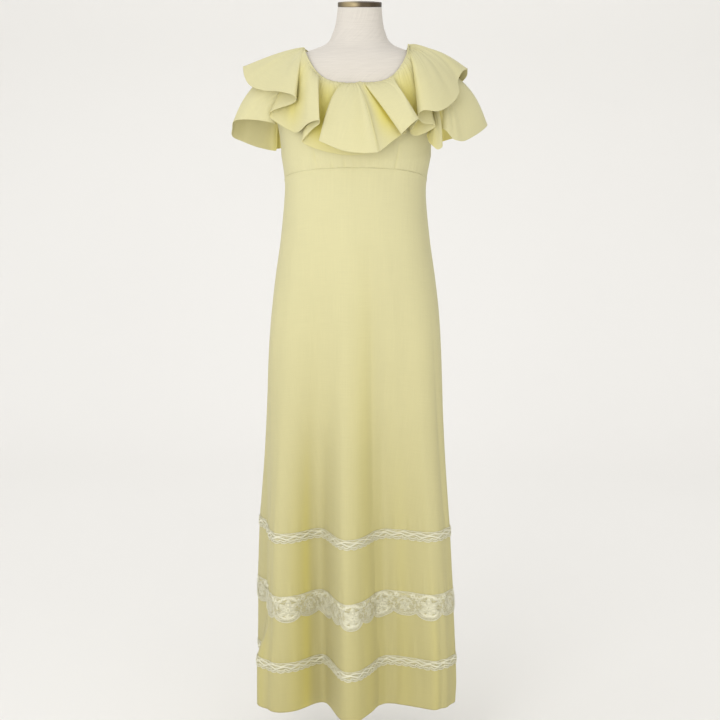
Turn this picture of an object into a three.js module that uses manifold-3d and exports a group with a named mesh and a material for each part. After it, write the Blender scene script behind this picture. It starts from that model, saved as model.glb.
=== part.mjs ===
// Long summer dress with a gathered neck flounce, flutter sleeves and three lace bands,
// standing on a limbless dress form. Millimetres, +Z up, -Y is the front of the dress.
// The origin is the middle of the underside of the stand's base.
import * as THREE from 'three';
import Module from 'manifold-3d';
import { mergeVertices } from 'three/addons/utils/BufferGeometryUtils.js';

const wasm = await Module();
wasm.setup();

// ---- driving dimensions ----
const CLOTH = 1.6; // wall of every cloth panel
const LACE = 1.2; // wall of the lace bands
const SEAM_GAP = 0.3; // space between pieces that touch
const FORM_GAP = 1.3; // from the form's cover to the middle of the cloth that lies on it
const ROUNDNESS = 2.3; // power of the superellipse that every level section follows

const HEM_Z = 138; // height of the skirt's hem above the floor
const SEAM_SIDE_Z = 1278; // empire seam at the side seams
const SEAM_FRONT_RISE = 36; // how much higher the seam is at the centre front
const SEAM_BACK_RISE = 14; // and at the centre back
const BODICE_TOP_Z = 1566; // the bodice's sections end here, above its neckline

const NECK = { centreX: 3, halfWidth: 106, shoulderZ: 1549, frontZ: 1483, backZ: 1512, squareness: 4 };
const ARMHOLE = { y: -2, z: 1452, halfDepth: 60, halfHeight: 58, inner: 118, outer: 260 };

const CAP = { x: 9.5, radius: 45.3, rim: 10, dome: 2.4 };
const FORM_TOP_Z = 1633.5;
const FORM_FOOT_Z = 1052;
const POLE = { radius: 14, foot: 26, socket: 20, socketHeight: 34 };
const BASE = { radius: 152, rim: 10, height: 26 };

// level sections of the form: height, middle, half width, depth to the front and to the back
const FORM_SECTIONS = [
  { z: 1633.5, x: 9.5, half: 45.2, front: 46, back: 46 },
  { z: 1610, x: 9, half: 47.5, front: 48, back: 48 },
  { z: 1592, x: 8.5, half: 51, front: 52, back: 50 },
  { z: 1580, x: 8, half: 56, front: 57, back: 53 },
  { z: 1572, x: 8, half: 60, front: 61, back: 56 },
  { z: 1566, x: 8, half: 66, front: 65, back: 59 },
  { z: 1560, x: 7.5, half: 76, front: 69, back: 62 },
  { z: 1554, x: 7, half: 92, front: 74, back: 66 },
  { z: 1547, x: 7, half: 110, front: 79, back: 70 },
  { z: 1537, x: 6, half: 130, front: 84, back: 76 },
  { z: 1525, x: 6, half: 150, front: 88, back: 82 },
  { z: 1512, x: 5, half: 166, front: 91, back: 87 },
  { z: 1498, x: 5, half: 176, front: 94, back: 90 },
  { z: 1480, x: 4, half: 180, front: 97, back: 93 },
  { z: 1450, x: 3, half: 178, front: 104, back: 96 },
  { z: 1420, x: 2, half: 168, front: 112, back: 96 },
  { z: 1390, x: 1, half: 158, front: 118, back: 94 },
  { z: 1350, x: 1, half: 152, front: 121, back: 91 },
  { z: 1320, x: 1, half: 149, front: 118, back: 88 },
  { z: 1290, x: 0, half: 140, front: 108, back: 86 },
  { z: 1240, x: 0, half: 128, front: 96, back: 84 },
  { z: 1190, x: 0, half: 122, front: 88, back: 84 },
  { z: 1140, x: 0, half: 130, front: 88, back: 90 },
  { z: 1090, x: 0, half: 140, front: 90, back: 96 },
  { z: 1052, x: 0, half: 144, front: 90, back: 98 },
];

// how much further the bodice hangs clear of the form below the shoulders
const EASE = [
  { z: 1520, ease: 0 },
  { z: 1498, ease: 0.6 },
  { z: 1470, ease: 0.8 },
  { z: 1430, ease: 1.4 },
  { z: 1390, ease: 2.4 },
  { z: 1350, ease: 4 },
  { z: 1320, ease: 5 },
  { z: 1290, ease: 6 },
  { z: 1250, ease: 12 },
];

// level sections of the skirt between its folds
const SKIRT_SECTIONS = [
  { z: 1330, x: 2, half: 156, front: 126, back: 97 },
  { z: 1278, x: 1, half: 148, front: 117, back: 96 },
  { z: 1240, x: 0, half: 148, front: 116, back: 97 },
  { z: 1150, x: 0, half: 157, front: 115, back: 102 },
  { z: 1074, x: 0, half: 168, front: 113, back: 107 },
  { z: 997, x: 0, half: 177, front: 111, back: 111 },
  { z: 919, x: -1, half: 183, front: 108, back: 114 },
  { z: 840, x: -2, half: 187, front: 105, back: 116 },
  { z: 681, x: -3, half: 193, front: 101, back: 118 },
  { z: 520, x: -2, half: 200, front: 99, back: 119 },
  { z: 356, x: 1, half: 204, front: 103, back: 120 },
  { z: 190, x: 4, half: 208, front: 106, back: 121 },
  { z: 138, x: 3, half: 207, front: 106, back: 121 },
];

// how far the skirt's folds have grown at each height, 1 at the hem
const FOLD_GROWTH = [
  { z: 1290, share: 0 },
  { z: 1150, share: 0.05 },
  { z: 997, share: 0.12 },
  { z: 840, share: 0.28 },
  { z: 681, share: 0.56 },
  { z: 537, share: 0.8 },
  { z: 397, share: 0.92 },
  { z: 250, share: 0.97 },
  { z: 138, share: 1 },
];

// folds of the skirt: place round the body in degrees from the centre front (right is +),
// how far the crest stands out at the hem, negative for a trough, and half its width
const SKIRT_FOLDS = [
  { at: -70, out: 19, width: 11 },
  { at: -45, out: 38, width: 12 },
  { at: -20, out: -52, width: 10 },
  { at: -2.5, out: 62, width: 8 },
  { at: 17, out: -44, width: 10 },
  { at: 31, out: -22, width: 9 },
  { at: 54, out: 26, width: 14 },
  { at: 74, out: 15, width: 9 },
  { at: 103, out: 12, width: 10 },
  { at: 124, out: -34, width: 10 },
  { at: 143, out: 30, width: 9 },
  { at: 162, out: -38, width: 9 },
  { at: 181, out: 40, width: 10 },
  { at: 203, out: -40, width: 10 },
  { at: 224, out: 34, width: 10 },
  { at: 243, out: -26, width: 9 },
  { at: 261, out: 10, width: 9 },
];

// lace bands: top edge, depth, columns across each column of the skirt's wall, columns to a
// scallop, how deep a scallop dips, and how much of that every second one has
const LACE_BANDS = [
  { name: 'lace_upper', top: 536, depth: 22, finer: 1, scallop: 2, dip: 3, minor: 1 },
  { name: 'lace_middle', top: 398, depth: 56, finer: 2, scallop: 4, dip: 7, minor: 0.55 },
  { name: 'lace_lower', top: 250, depth: 22, finer: 1, scallop: 2, dip: 3, minor: 1 },
];

// the neck flounce: each row is one place on its hem. neck is the angle round the neckline
// where the cloth above that place is sewn (0 is the centre front, right is +), then x, y, z.
const FLOUNCE_FRONT = [
  { neck: -90, x: -233, y: 4, z: 1516 },
  { neck: -87, x: -228, y: -27, z: 1496 },
  { neck: -84, x: -215, y: -52, z: 1476 },
  { neck: -81, x: -187, y: -74, z: 1467 },
  { neck: -78, x: -154, y: -99, z: 1466 },
  { neck: -75, x: -126, y: -122, z: 1460 },
  { neck: -72, x: -119, y: -118, z: 1450 },
  { neck: -69, x: -130, y: -104, z: 1441 },
  { neck: -66, x: -153, y: -88, z: 1433 },
  { neck: -63, x: -170, y: -80, z: 1426 },
  { neck: -60, x: -176, y: -71, z: 1418 },
  { neck: -57, x: -170, y: -66, z: 1408 },
  { neck: -54, x: -152, y: -76, z: 1397 },
  { neck: -51, x: -134, y: -95, z: 1388 },
  { neck: -48, x: -116, y: -120, z: 1385 },
  { neck: -44, x: -94, y: -148, z: 1405 },
  { neck: -41, x: -74, y: -162, z: 1412 },
  { neck: -38, x: -72, y: -157, z: 1405 },
  { neck: -35, x: -86, y: -143, z: 1393 },
  { neck: -31, x: -104, y: -133, z: 1373 },
  { neck: -28, x: -106, y: -125, z: 1365 },
  { neck: -24, x: -86, y: -124, z: 1355 },
  { neck: -20, x: -50, y: -130, z: 1345 },
  { neck: -16, x: -6, y: -134, z: 1340 },
  { neck: -12, x: 40, y: -135, z: 1345 },
  { neck: -9, x: 50, y: -139, z: 1350 },
  { neck: -7, x: 36, y: -145, z: 1353 },
  { neck: -5, x: -10, y: -148, z: 1354 },
  { neck: -2, x: -54, y: -149, z: 1364 },
  { neck: 1, x: -72, y: -154, z: 1371 },
  { neck: 4, x: -62, y: -163, z: 1367 },
  { neck: 7, x: -22, y: -172, z: 1352 },
  { neck: 10, x: 18, y: -175, z: 1348 },
  { neck: 14, x: 52, y: -171, z: 1350 },
  { neck: 18, x: 76, y: -156, z: 1371 },
  { neck: 22, x: 98, y: -136, z: 1384 },
  { neck: 25, x: 103, y: -141, z: 1385 },
  { neck: 28, x: 93, y: -155, z: 1384 },
  { neck: 32, x: 103, y: -163, z: 1395 },
  { neck: 38, x: 117, y: -162, z: 1408 },
  { neck: 44, x: 128, y: -150, z: 1414 },
  { neck: 48, x: 118, y: -134, z: 1400 },
  { neck: 52, x: 112, y: -121, z: 1384 },
  { neck: 56, x: 126, y: -112, z: 1378 },
  { neck: 60, x: 148, y: -105, z: 1386 },
  { neck: 64, x: 163, y: -103, z: 1396 },
  { neck: 67, x: 158, y: -112, z: 1401 },
  { neck: 70, x: 138, y: -123, z: 1404 },
  { neck: 73, x: 126, y: -133, z: 1418 },
  { neck: 76, x: 138, y: -145, z: 1431 },
  { neck: 79, x: 168, y: -141, z: 1429 },
  { neck: 82, x: 194, y: -114, z: 1441 },
  { neck: 85, x: 211, y: -82, z: 1461 },
  { neck: 87, x: 211, y: -50, z: 1486 },
  { neck: 88.5, x: 221, y: -26, z: 1503 },
  { neck: 90, x: 233, y: 2, z: 1508 },
];

const FLOUNCE_BACK = [
  { neck: 90, x: 233, y: 2, z: 1508 },
  { neck: 93, x: 232, y: 28, z: 1490 },
  { neck: 97, x: 214, y: 62, z: 1470 },
  { neck: 101, x: 186, y: 92, z: 1456 },
  { neck: 105, x: 172, y: 112, z: 1440 },
  { neck: 108, x: 158, y: 106, z: 1428 },
  { neck: 112, x: 160, y: 92, z: 1418 },
  { neck: 116, x: 142, y: 94, z: 1406 },
  { neck: 121, x: 116, y: 112, z: 1400 },
  { neck: 127, x: 94, y: 138, z: 1402 },
  { neck: 132, x: 72, y: 140, z: 1398 },
  { neck: 137, x: 62, y: 122, z: 1390 },
  { neck: 143, x: 68, y: 108, z: 1382 },
  { neck: 150, x: 46, y: 108, z: 1376 },
  { neck: 158, x: 22, y: 124, z: 1374 },
  { neck: 166, x: 6, y: 146, z: 1378 },
  { neck: 174, x: -20, y: 150, z: 1376 },
  { neck: 182, x: -42, y: 134, z: 1372 },
  { neck: 189, x: -40, y: 114, z: 1368 },
  { neck: 196, x: -60, y: 107, z: 1372 },
  { neck: 204, x: -84, y: 118, z: 1378 },
  { neck: 212, x: -104, y: 138, z: 1390 },
  { neck: 219, x: -124, y: 134, z: 1398 },
  { neck: 226, x: -128, y: 114, z: 1400 },
  { neck: 233, x: -126, y: 96, z: 1404 },
  { neck: 240, x: -148, y: 90, z: 1414 },
  { neck: 247, x: -172, y: 98, z: 1430 },
  { neck: 254, x: -194, y: 92, z: 1448 },
  { neck: 261, x: -216, y: 66, z: 1470 },
  { neck: 266, x: -230, y: 34, z: 1496 },
  { neck: 270, x: -233, y: 4, z: 1516 },
];

// the flutter sleeves: arm is the angle round the armhole from its top (front is +)
const SLEEVE_LEFT = [
  { arm: 112, x: -164, y: -56, z: 1398 },
  { arm: 96, x: -178, y: -66, z: 1403 },
  { arm: 76, x: -205, y: -64, z: 1407 },
  { arm: 56, x: -232, y: -56, z: 1407 },
  { arm: 36, x: -251, y: -34, z: 1402 },
  { arm: 14, x: -259, y: -6, z: 1384 },
  { arm: -8, x: -257, y: 26, z: 1366 },
  { arm: -28, x: -240, y: 50, z: 1352 },
  { arm: -48, x: -212, y: 70, z: 1339 },
  { arm: -66, x: -184, y: 82, z: 1332 },
  { arm: -84, x: -170, y: 72, z: 1333 },
  { arm: -100, x: -168, y: 56, z: 1350 },
];

const SLEEVE_RIGHT = [
  { arm: 108, x: 158, y: -90, z: 1370 },
  { arm: 98, x: 152, y: -106, z: 1362 },
  { arm: 90, x: 160, y: -118, z: 1355 },
  { arm: 82, x: 172, y: -116, z: 1354 },
  { arm: 74, x: 182, y: -106, z: 1359 },
  { arm: 64, x: 200, y: -96, z: 1363 },
  { arm: 50, x: 226, y: -80, z: 1366 },
  { arm: 32, x: 256, y: -48, z: 1380 },
  { arm: 14, x: 274, y: -14, z: 1392 },
  { arm: -6, x: 272, y: 22, z: 1390 },
  { arm: -28, x: 250, y: 54, z: 1376 },
  { arm: -50, x: 218, y: 78, z: 1362 },
  { arm: -70, x: 188, y: 90, z: 1352 },
  { arm: -86, x: 174, y: 80, z: 1348 },
  { arm: -100, x: 172, y: 60, z: 1356 },
];

// ---- small helpers ----
const radians = THREE.MathUtils.degToRad;
const lerp = THREE.MathUtils.lerp;
const clamp = THREE.MathUtils.clamp;
const signedPower = (value, power) => Math.sign(value) * Math.abs(value) ** power;

// value of a column where another column, sorted, has the given key: a smooth curve through the rows
function along(rows, keyName, key, column) {
  const rising = rows[rows.length - 1][keyName] > rows[0][keyName] ? 1 : -1;
  let i = 0;
  while (i < rows.length - 2 && (key - rows[i + 1][keyName]) * rising > 0) i += 1;
  const at = (k) => rows[clamp(k, 0, rows.length - 1)];
  const span = at(i + 1)[keyName] - at(i)[keyName];
  const t = clamp((key - at(i)[keyName]) / span, 0, 1);
  const slope = (k) => {
    const run = at(k + 1)[keyName] - at(k - 1)[keyName];
    return run === 0 ? 0 : ((at(k + 1)[column] - at(k - 1)[column]) / run) * span;
  };
  const a = at(i)[column];
  const b = at(i + 1)[column];
  const smooth = t * t * (3 - 2 * t);
  const leave = t * (1 - t) * (1 - t);
  const arrive = t * t * (1 - t);
  return lerp(a, b, smooth) + leave * slope(i) - arrive * slope(i + 1);
}

// point of a superellipse section: angle in degrees from the front, right is +
function sectionPoint(section, angle, z) {
  const side = Math.sin(radians(angle));
  const face = Math.cos(radians(angle));
  const depth = face > 0 ? section.front : section.back;
  return new THREE.Vector3(
    section.x + section.half * signedPower(side, 2 / ROUNDNESS),
    -depth * signedPower(face, 2 / ROUNDNESS),
    z,
  );
}

function sectionAt(rows, z) {
  return {
    x: along(rows, 'z', z, 'x'),
    half: along(rows, 'z', z, 'half'),
    front: along(rows, 'z', z, 'front'),
    back: along(rows, 'z', z, 'back'),
  };
}

// ---- surfaces ----
const formPoint = (angle, z) => sectionPoint(sectionAt(FORM_SECTIONS, z), angle, z);

// the bodice: the form's sections, raised and widened until the cloth lies clear of them
function bodicePoint(angle, z) {
  const section = sectionAt(FORM_SECTIONS, z - FORM_GAP * 1.6);
  const clear = FORM_GAP + (z < EASE[0].z ? along(EASE, 'z', z, 'ease') : 0);
  section.half += clear;
  section.front += clear;
  section.back += clear;
  return sectionPoint(section, angle, z);
}

// the skirt: its own sections, moved in and out by the folds
function skirtPoint(angle, z) {
  const section = sectionAt(SKIRT_SECTIONS, z);
  const point = sectionPoint(section, angle, z);
  const depth = point.y < 0 ? section.front : section.back;
  const outward = new THREE.Vector3((point.x - section.x) / section.half ** 2, point.y / depth ** 2, 0);
  outward.normalize();
  const grown = along(FOLD_GROWTH, 'z', z, 'share');
  let out = 0;
  for (const fold of SKIRT_FOLDS) {
    const turn = ((((angle - fold.at) % 360) + 540) % 360) - 180;
    out += fold.out * Math.exp(-((turn / fold.width) ** 2));
  }
  return point.addScaledVector(outward, out * grown);
}

// below the bust the bodice passes over into the skirt's own shape, and meets it at the seam
const BLEND_TOP_Z = 1390;
const BLEND_FOOT_Z = 1320;
function bodyPoint(angle, z) {
  const share = THREE.MathUtils.smoothstep(z, BLEND_FOOT_Z, BLEND_TOP_Z);
  if (share === 1) return bodicePoint(angle, z);
  if (share === 0) return skirtPoint(angle, z);
  return skirtPoint(angle, z).lerp(bodicePoint(angle, z), share);
}

function seamZ(angle) {
  const face = Math.cos(radians(angle));
  const rise = face > 0 ? SEAM_FRONT_RISE : SEAM_BACK_RISE;
  return SEAM_SIDE_Z + rise * Math.abs(face);
}

// neckline: x from the angle, height from a square scoop, depth from the body's section there,
// which runs in to nothing over the shoulder seam at 90 degrees while the edge rises onto its ridge
const SHOULDER_TURN = 300;
const SHOULDER_RIDGE = 5;
function neckPoint(angle) {
  const side = Math.sin(radians(angle));
  const front = Math.cos(radians(angle)) >= 0;
  const low = front ? NECK.frontZ : NECK.backZ;
  const z = lerp(low, NECK.shoulderZ, Math.abs(side) ** NECK.squareness);
  const x = NECK.centreX + NECK.halfWidth * side;
  const section = sectionAt(FORM_SECTIONS, z - FORM_GAP * 1.6);
  const reach = clamp(Math.abs(x - section.x) / (section.half + FORM_GAP), 0, 1);
  const depth = (front ? section.front : section.back) + FORM_GAP;
  const clearOfRidge = Math.sqrt(1 - Math.abs(side) ** SHOULDER_TURN);
  const y = depth * (1 - reach ** ROUNDNESS) ** (1 / ROUNDNESS) * clearOfRidge;
  return new THREE.Vector3(x, front ? -y : y, z + SHOULDER_RIDGE * (1 - clearOfRidge));
}

// the flounce leaves the neckline outward and falls to its hem
const FLOUNCE_LIFT = CLOTH + SEAM_GAP * 6; // height of its sewn edge over the bodice
// how far its middle bows away from the body, by the angle round the neckline
const FLOUNCE_SPRING = [
  { neck: -90, spring: 5 },
  { neck: -76, spring: 13 },
  { neck: -62, spring: 7 },
  { neck: -48, spring: 14 },
  { neck: 0, spring: 17 },
  { neck: 50, spring: 15 },
  { neck: 65, spring: 9 },
  { neck: 78, spring: 18 },
  { neck: 84, spring: 18 },
  { neck: 90, spring: 19 },
  { neck: 110, spring: 18 },
  { neck: 180, spring: 17 },
  { neck: 270, spring: 5 },
];
const FOLD_SPREAD = 3; // rows over which the sewn edge evens the folds out
const FOLD_START = 0.45; // share of the fall where the folds begin to turn under
function evenedHem(rows, step, column) {
  const weights = rows.map((row) => Math.exp(-(((row.step - step) / FOLD_SPREAD) ** 2)));
  const total = weights.reduce((sum, weight) => sum + weight);
  return rows.reduce((sum, row, k) => sum + row[column] * weights[k], 0) / total;
}

function flouncePoint(rows, step, fall) {
  const fromEnd = clamp(Math.min(step, rows.length - 1 - step) / FOLD_SPREAD, 0, 1);
  const folded = lerp(1, THREE.MathUtils.smoothstep(fall, FOLD_START, 1), fromEnd);
  const column = (c) => lerp(evenedHem(rows, step, c), along(rows, 'step', step, c), folded);
  const hem = new THREE.Vector3(column('x'), column('y'), column('z'));
  const angle = along(rows, 'step', step, 'neck');
  const neck = neckPoint(angle);
  const away = new THREE.Vector3(Math.sin(radians(angle)), -Math.cos(radians(angle)) * 0.8, 0.7);
  away.normalize();
  neck.addScaledVector(away, FLOUNCE_LIFT);
  const spring = along(FLOUNCE_SPRING, 'neck', angle, 'spring');
  const bow = spring * Math.sin(Math.PI * fall ** 0.7);
  return neck.lerp(hem, fall).addScaledVector(away, bow);
}

// the sleeve leaves the armhole's edge and falls to its hem
const SLEEVE_SPRING = { left: 12, right: 18 };
const SLEEVE_STAND = 3.6; // the sleeve's sewn edge stands this far outside the bodice
function sleevePoint(rows, side, step, fall) {
  const hem = new THREE.Vector3(...['x', 'y', 'z'].map((c) => along(rows, 'step', step, c)));
  const arm = radians(along(rows, 'step', step, 'arm'));
  const y = ARMHOLE.y - (ARMHOLE.halfDepth + 1) * Math.sin(arm);
  const z = ARMHOLE.z + (ARMHOLE.halfHeight + 1) * Math.cos(arm);
  const section = sectionAt(FORM_SECTIONS, z - FORM_GAP * 1.6);
  const depth = (y < 0 ? section.front : section.back) + FORM_GAP;
  const reach = clamp(Math.abs(y) / depth, 0, 1);
  const x = section.x + side * (section.half + FORM_GAP) * (1 - reach ** ROUNDNESS) ** (1 / ROUNDNESS);
  const start = new THREE.Vector3(x + side * SLEEVE_STAND, y, z + SLEEVE_STAND * Math.cos(arm) * 0.6);
  const spring = side < 0 ? SLEEVE_SPRING.left : SLEEVE_SPRING.right;
  const bow = spring * Math.sin(Math.PI * fall) * Math.max(Math.cos(arm * 0.75), 0.2);
  return start.lerp(hem, fall).add(new THREE.Vector3(side * bow * 0.8, 0, bow * 0.6));
}

const stepped = (rows) => rows.map((row, step) => ({ ...row, step }));

// ---- walls ----
// a sheet of points, rows of equal length, and the direction that faces out at each
function sheetNormals(grid) {
  const last = grid.length - 1;
  return grid.map((row, i) =>
    row.map((_, j) => {
      const across = grid[i][Math.min(j + 1, row.length - 1)].clone();
      across.sub(grid[i][Math.max(j - 1, 0)]);
      const down = grid[Math.min(i + 1, last)][j].clone().sub(grid[Math.max(i - 1, 0)][j]);
      return down.cross(across).normalize();
    }),
  );
}

const offsetGrid = (grid, normals, by) =>
  grid.map((row, i) => row.map((point, j) => point.clone().addScaledVector(normals[i][j], by)));

// closes an outer and an inner sheet into one wall
function wallGeometry(outer, inner) {
  const rows = outer.length;
  const columns = outer[0].length;
  const positions = [];
  for (const grid of [outer, inner]) {
    for (const row of grid) for (const point of row) positions.push(point.x, point.y, point.z);
  }
  const index = [];
  const out = (i, j) => i * columns + j;
  const back = (i, j) => rows * columns + i * columns + j;
  const quad = (a, b, c, d) => index.push(a, b, c, a, c, d);
  for (let i = 0; i < rows - 1; i += 1) {
    for (let j = 0; j < columns - 1; j += 1) {
      quad(out(i, j), out(i + 1, j), out(i + 1, j + 1), out(i, j + 1));
      quad(back(i, j), back(i, j + 1), back(i + 1, j + 1), back(i + 1, j));
    }
    quad(out(i, 0), back(i, 0), back(i + 1, 0), out(i + 1, 0));
    quad(out(i, columns - 1), out(i + 1, columns - 1), back(i + 1, columns - 1), back(i, columns - 1));
  }
  for (let j = 0; j < columns - 1; j += 1) {
    quad(out(0, j), out(0, j + 1), back(0, j + 1), back(0, j));
    quad(out(rows - 1, j), back(rows - 1, j), back(rows - 1, j + 1), out(rows - 1, j + 1));
  }
  const geometry = new THREE.BufferGeometry();
  geometry.setAttribute('position', new THREE.Float32BufferAttribute(positions, 3));
  geometry.setIndex(index);
  return geometry;
}

// a wall of the given thickness with the sheet in its middle
function clothWall(grid, thickness = CLOTH) {
  const normals = sheetNormals(grid);
  return wallGeometry(offsetGrid(grid, normals, thickness / 2), offsetGrid(grid, normals, -thickness / 2));
}

const evenly = (from, to, count) => Array.from({ length: count + 1 }, (_, k) => lerp(from, to, k / count));

// a solid stacked from rings of points, closed by a fan at each end
function stackedSolid(rings) {
  const columns = rings[0].length;
  const positions = rings.flat().flatMap((p) => [p.x, p.y, p.z]);
  const middle = (ring) => ring.reduce((sum, p) => sum.add(p), new THREE.Vector3()).divideScalar(columns);
  const top = positions.length / 3;
  for (const ring of [rings[0], rings[rings.length - 1]]) {
    const centre = middle(ring);
    positions.push(centre.x, centre.y, centre.z);
  }
  const index = [];
  rings.forEach((ring, i) => {
    ring.forEach((_, j) => {
      const next = (j + 1) % columns;
      const a = i * columns + j;
      const b = i * columns + next;
      if (i === 0) index.push(top, a, b);
      if (i === rings.length - 1) {
        index.push(top + 1, b, a);
        return;
      }
      index.push(a, a + columns, b + columns, a, b + columns, b);
    });
  });
  const geometry = new THREE.BufferGeometry();
  geometry.setAttribute('position', new THREE.Float32BufferAttribute(positions, 3));
  geometry.setIndex(index);
  return geometry;
}

// ---- cutting ----
function toManifold(geometry) {
  const bare = geometry.clone();
  bare.deleteAttribute('normal');
  bare.deleteAttribute('uv');
  const merged = mergeVertices(bare, 1e-4);
  return new wasm.Manifold(
    new wasm.Mesh({
      numProp: 3,
      vertProperties: Float32Array.from(merged.attributes.position.array),
      triVerts: Uint32Array.from(merged.index.array),
    }),
  );
}

function fromManifold(solid) {
  const mesh = solid.getMesh();
  const geometry = new THREE.BufferGeometry();
  geometry.setAttribute('position', new THREE.BufferAttribute(mesh.vertProperties, 3));
  geometry.setIndex(new THREE.BufferAttribute(mesh.triVerts, 1));
  return geometry;
}

// everything above the neckline's scoop, as a block through the front or the back
const SCOOP_POINTS = 28;
function scoopCutter(front) {
  const low = front ? NECK.frontZ : NECK.backZ;
  const outline = new THREE.Shape();
  const above = BODICE_TOP_Z + 40;
  outline.moveTo(NECK.centreX - NECK.halfWidth, above);
  for (const angle of evenly(-90, 90, SCOOP_POINTS)) {
    const side = Math.sin(radians(angle));
    const z = lerp(low, NECK.shoulderZ, Math.abs(side) ** NECK.squareness);
    outline.lineTo(NECK.centreX + NECK.halfWidth * side, z);
  }
  outline.lineTo(NECK.centreX + NECK.halfWidth, above);
  const block = new THREE.ExtrudeGeometry(outline, { depth: 300, bevelEnabled: false });
  block.rotateX(Math.PI / 2);
  block.translate(0, front ? 1 : 299, 0);
  return toManifold(block);
}

// an oval plug through one side of the bodice
function armholeCutter(side) {
  const plug = new THREE.CylinderGeometry(1, 1, ARMHOLE.outer - ARMHOLE.inner, 28);
  plug.rotateZ(Math.PI / 2);
  plug.scale(1, ARMHOLE.halfDepth, ARMHOLE.halfHeight);
  plug.translate((side * (ARMHOLE.outer + ARMHOLE.inner)) / 2, ARMHOLE.y, ARMHOLE.z);
  return toManifold(plug);
}

// ---- pieces ----
const EDGE = 0.1; // degrees left free on each side of a side seam
// angles across the front or the back, spaced so that the points lie evenly along the cloth
function acrossAngles(front, columns) {
  const middle = front ? 0 : 180;
  return evenly(-1, 1, columns).map((t) => middle + (90 - EDGE) * signedPower(t, ROUNDNESS / 2));
}

const BODICE_LEVELS = [1330, 1360, 1392, 1424, 1456, 1484, 1506, 1524, 1538, 1548, 1556];
const BODICE_COLUMNS = 24;

function bodiceHalf(front) {
  const angles = acrossAngles(front, BODICE_COLUMNS);
  const levels = [null, ...BODICE_LEVELS, BODICE_TOP_Z].reverse();
  const grid = levels.map((level) =>
    angles.map((angle) => bodyPoint(angle, level ?? seamZ(angle) + SEAM_GAP / 2)),
  );
  let solid = toManifold(clothWall(grid)).subtract(scoopCutter(front));
  for (const side of [-1, 1]) solid = solid.subtract(armholeCutter(side));
  return fromManifold(solid);
}

const SKIRT_COLUMNS = 40;
const SKIRT_LEVELS = [1235, 1110, 950, 780, 640];
// levels of the skirt's rows below its seam, with one at each edge of every lace band
function skirtLevels() {
  const edges = LACE_BANDS.flatMap((band) => [band.top + 2, band.top - band.depth - 2]);
  return [...SKIRT_LEVELS, ...edges, HEM_Z];
}

function skirtGrid(front) {
  const angles = acrossAngles(front, SKIRT_COLUMNS);
  return [null, ...skirtLevels()].map((level) =>
    angles.map((angle) => {
      const top = seamZ(angle) - SEAM_GAP / 2;
      return bodyPoint(angle, level ?? top);
    }),
  );
}

// a lace band lies on the skirt's wall: its points are the wall's own, moved out
function laceBand(front, band) {
  const grid = skirtGrid(front);
  const row = skirtLevels().indexOf(band.top + 2) + 1;
  const normals = sheetNormals(grid);
  const columns = SKIRT_COLUMNS * band.finer;
  const pick = (share, z, out) => {
    const place = share * SKIRT_COLUMNS;
    const j = Math.min(Math.floor(place), SKIRT_COLUMNS - 1);
    const across = place - j;
    const fall = (grid[row][j].z - z) / (grid[row][j].z - grid[row + 1][j].z);
    const at = (i) => {
      const point = grid[i][j].clone().lerp(grid[i][j + 1], across);
      const normal = normals[i][j].clone().lerp(normals[i][j + 1], across);
      return point.addScaledVector(normal, out);
    };
    return at(row).lerp(at(row + 1), fall);
  };
  const layer = (out) => [
    evenly(0, 1, columns).map((share) => pick(share, band.top, out)),
    evenly(0, 1, columns).map((share, k) => {
      const scallop = Math.floor(k / band.scallop);
      const within = (k % band.scallop) / band.scallop;
      const dip = band.dip * (scallop % 2 ? band.minor : 1) * Math.sqrt(Math.sin(Math.PI * within));
      return pick(share, band.top - band.depth + band.dip - dip, out);
    }),
  ];
  const inside = CLOTH / 2 + SEAM_GAP * 1.5;
  return wallGeometry(layer(inside + LACE), layer(inside));
}

const FLOUNCE_FALLS = [0, 0.25, 0.5, 0.72, 0.87, 1];
function flounceHalf(rows, columns) {
  const table = stepped(rows);
  const edge = 0.02;
  const steps = evenly(edge, table.length - 1 - edge, columns);
  return clothWall(FLOUNCE_FALLS.map((fall) => steps.map((step) => flouncePoint(table, step, fall))));
}

const SLEEVE_FALLS = [0, 0.2, 0.45, 0.72, 1];
function sleeve(rows, side, columns) {
  const table = stepped(rows);
  const steps = evenly(0, table.length - 1, columns);
  if (side > 0) steps.reverse();
  steps.reverse();
  return clothWall(SLEEVE_FALLS.map((fall) => steps.map((step) => sleevePoint(table, side, step, fall))));
}

const FORM_COLUMNS = 30;
function formTorso() {
  const rings = FORM_SECTIONS.map(({ z }) =>
    evenly(0, 360, FORM_COLUMNS).slice(0, -1).map((angle) => formPoint(angle, z)),
  );
  return stackedSolid(rings);
}

function turned(profile, segments) {
  const lathe = new THREE.LatheGeometry(profile.map(([r, z]) => new THREE.Vector2(r, z)), segments);
  lathe.rotateX(Math.PI / 2);
  return lathe;
}

function neckCap() {
  const foot = FORM_TOP_Z + SEAM_GAP;
  const profile = [
    [0, foot],
    [CAP.radius - 0.8, foot],
    [CAP.radius, foot + 1],
    [CAP.radius, foot + CAP.rim - 1.6],
    [CAP.radius - 1.6, foot + CAP.rim],
    [CAP.radius * 0.6, foot + CAP.rim + CAP.dome * 0.7],
    [0, foot + CAP.rim + CAP.dome],
  ];
  return turned(profile, 40).translate(CAP.x, 0, 0);
}

function standPole() {
  const foot = BASE.height + SEAM_GAP;
  const top = FORM_FOOT_Z - SEAM_GAP;
  const profile = [
    [0, foot],
    [POLE.foot, foot],
    [POLE.foot, foot + 8],
    [POLE.radius, foot + 22],
    [POLE.radius, top - POLE.socketHeight],
    [POLE.socket, top - POLE.socketHeight],
    [POLE.socket, top],
    [0, top],
  ];
  return turned(profile, 24);
}

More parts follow.
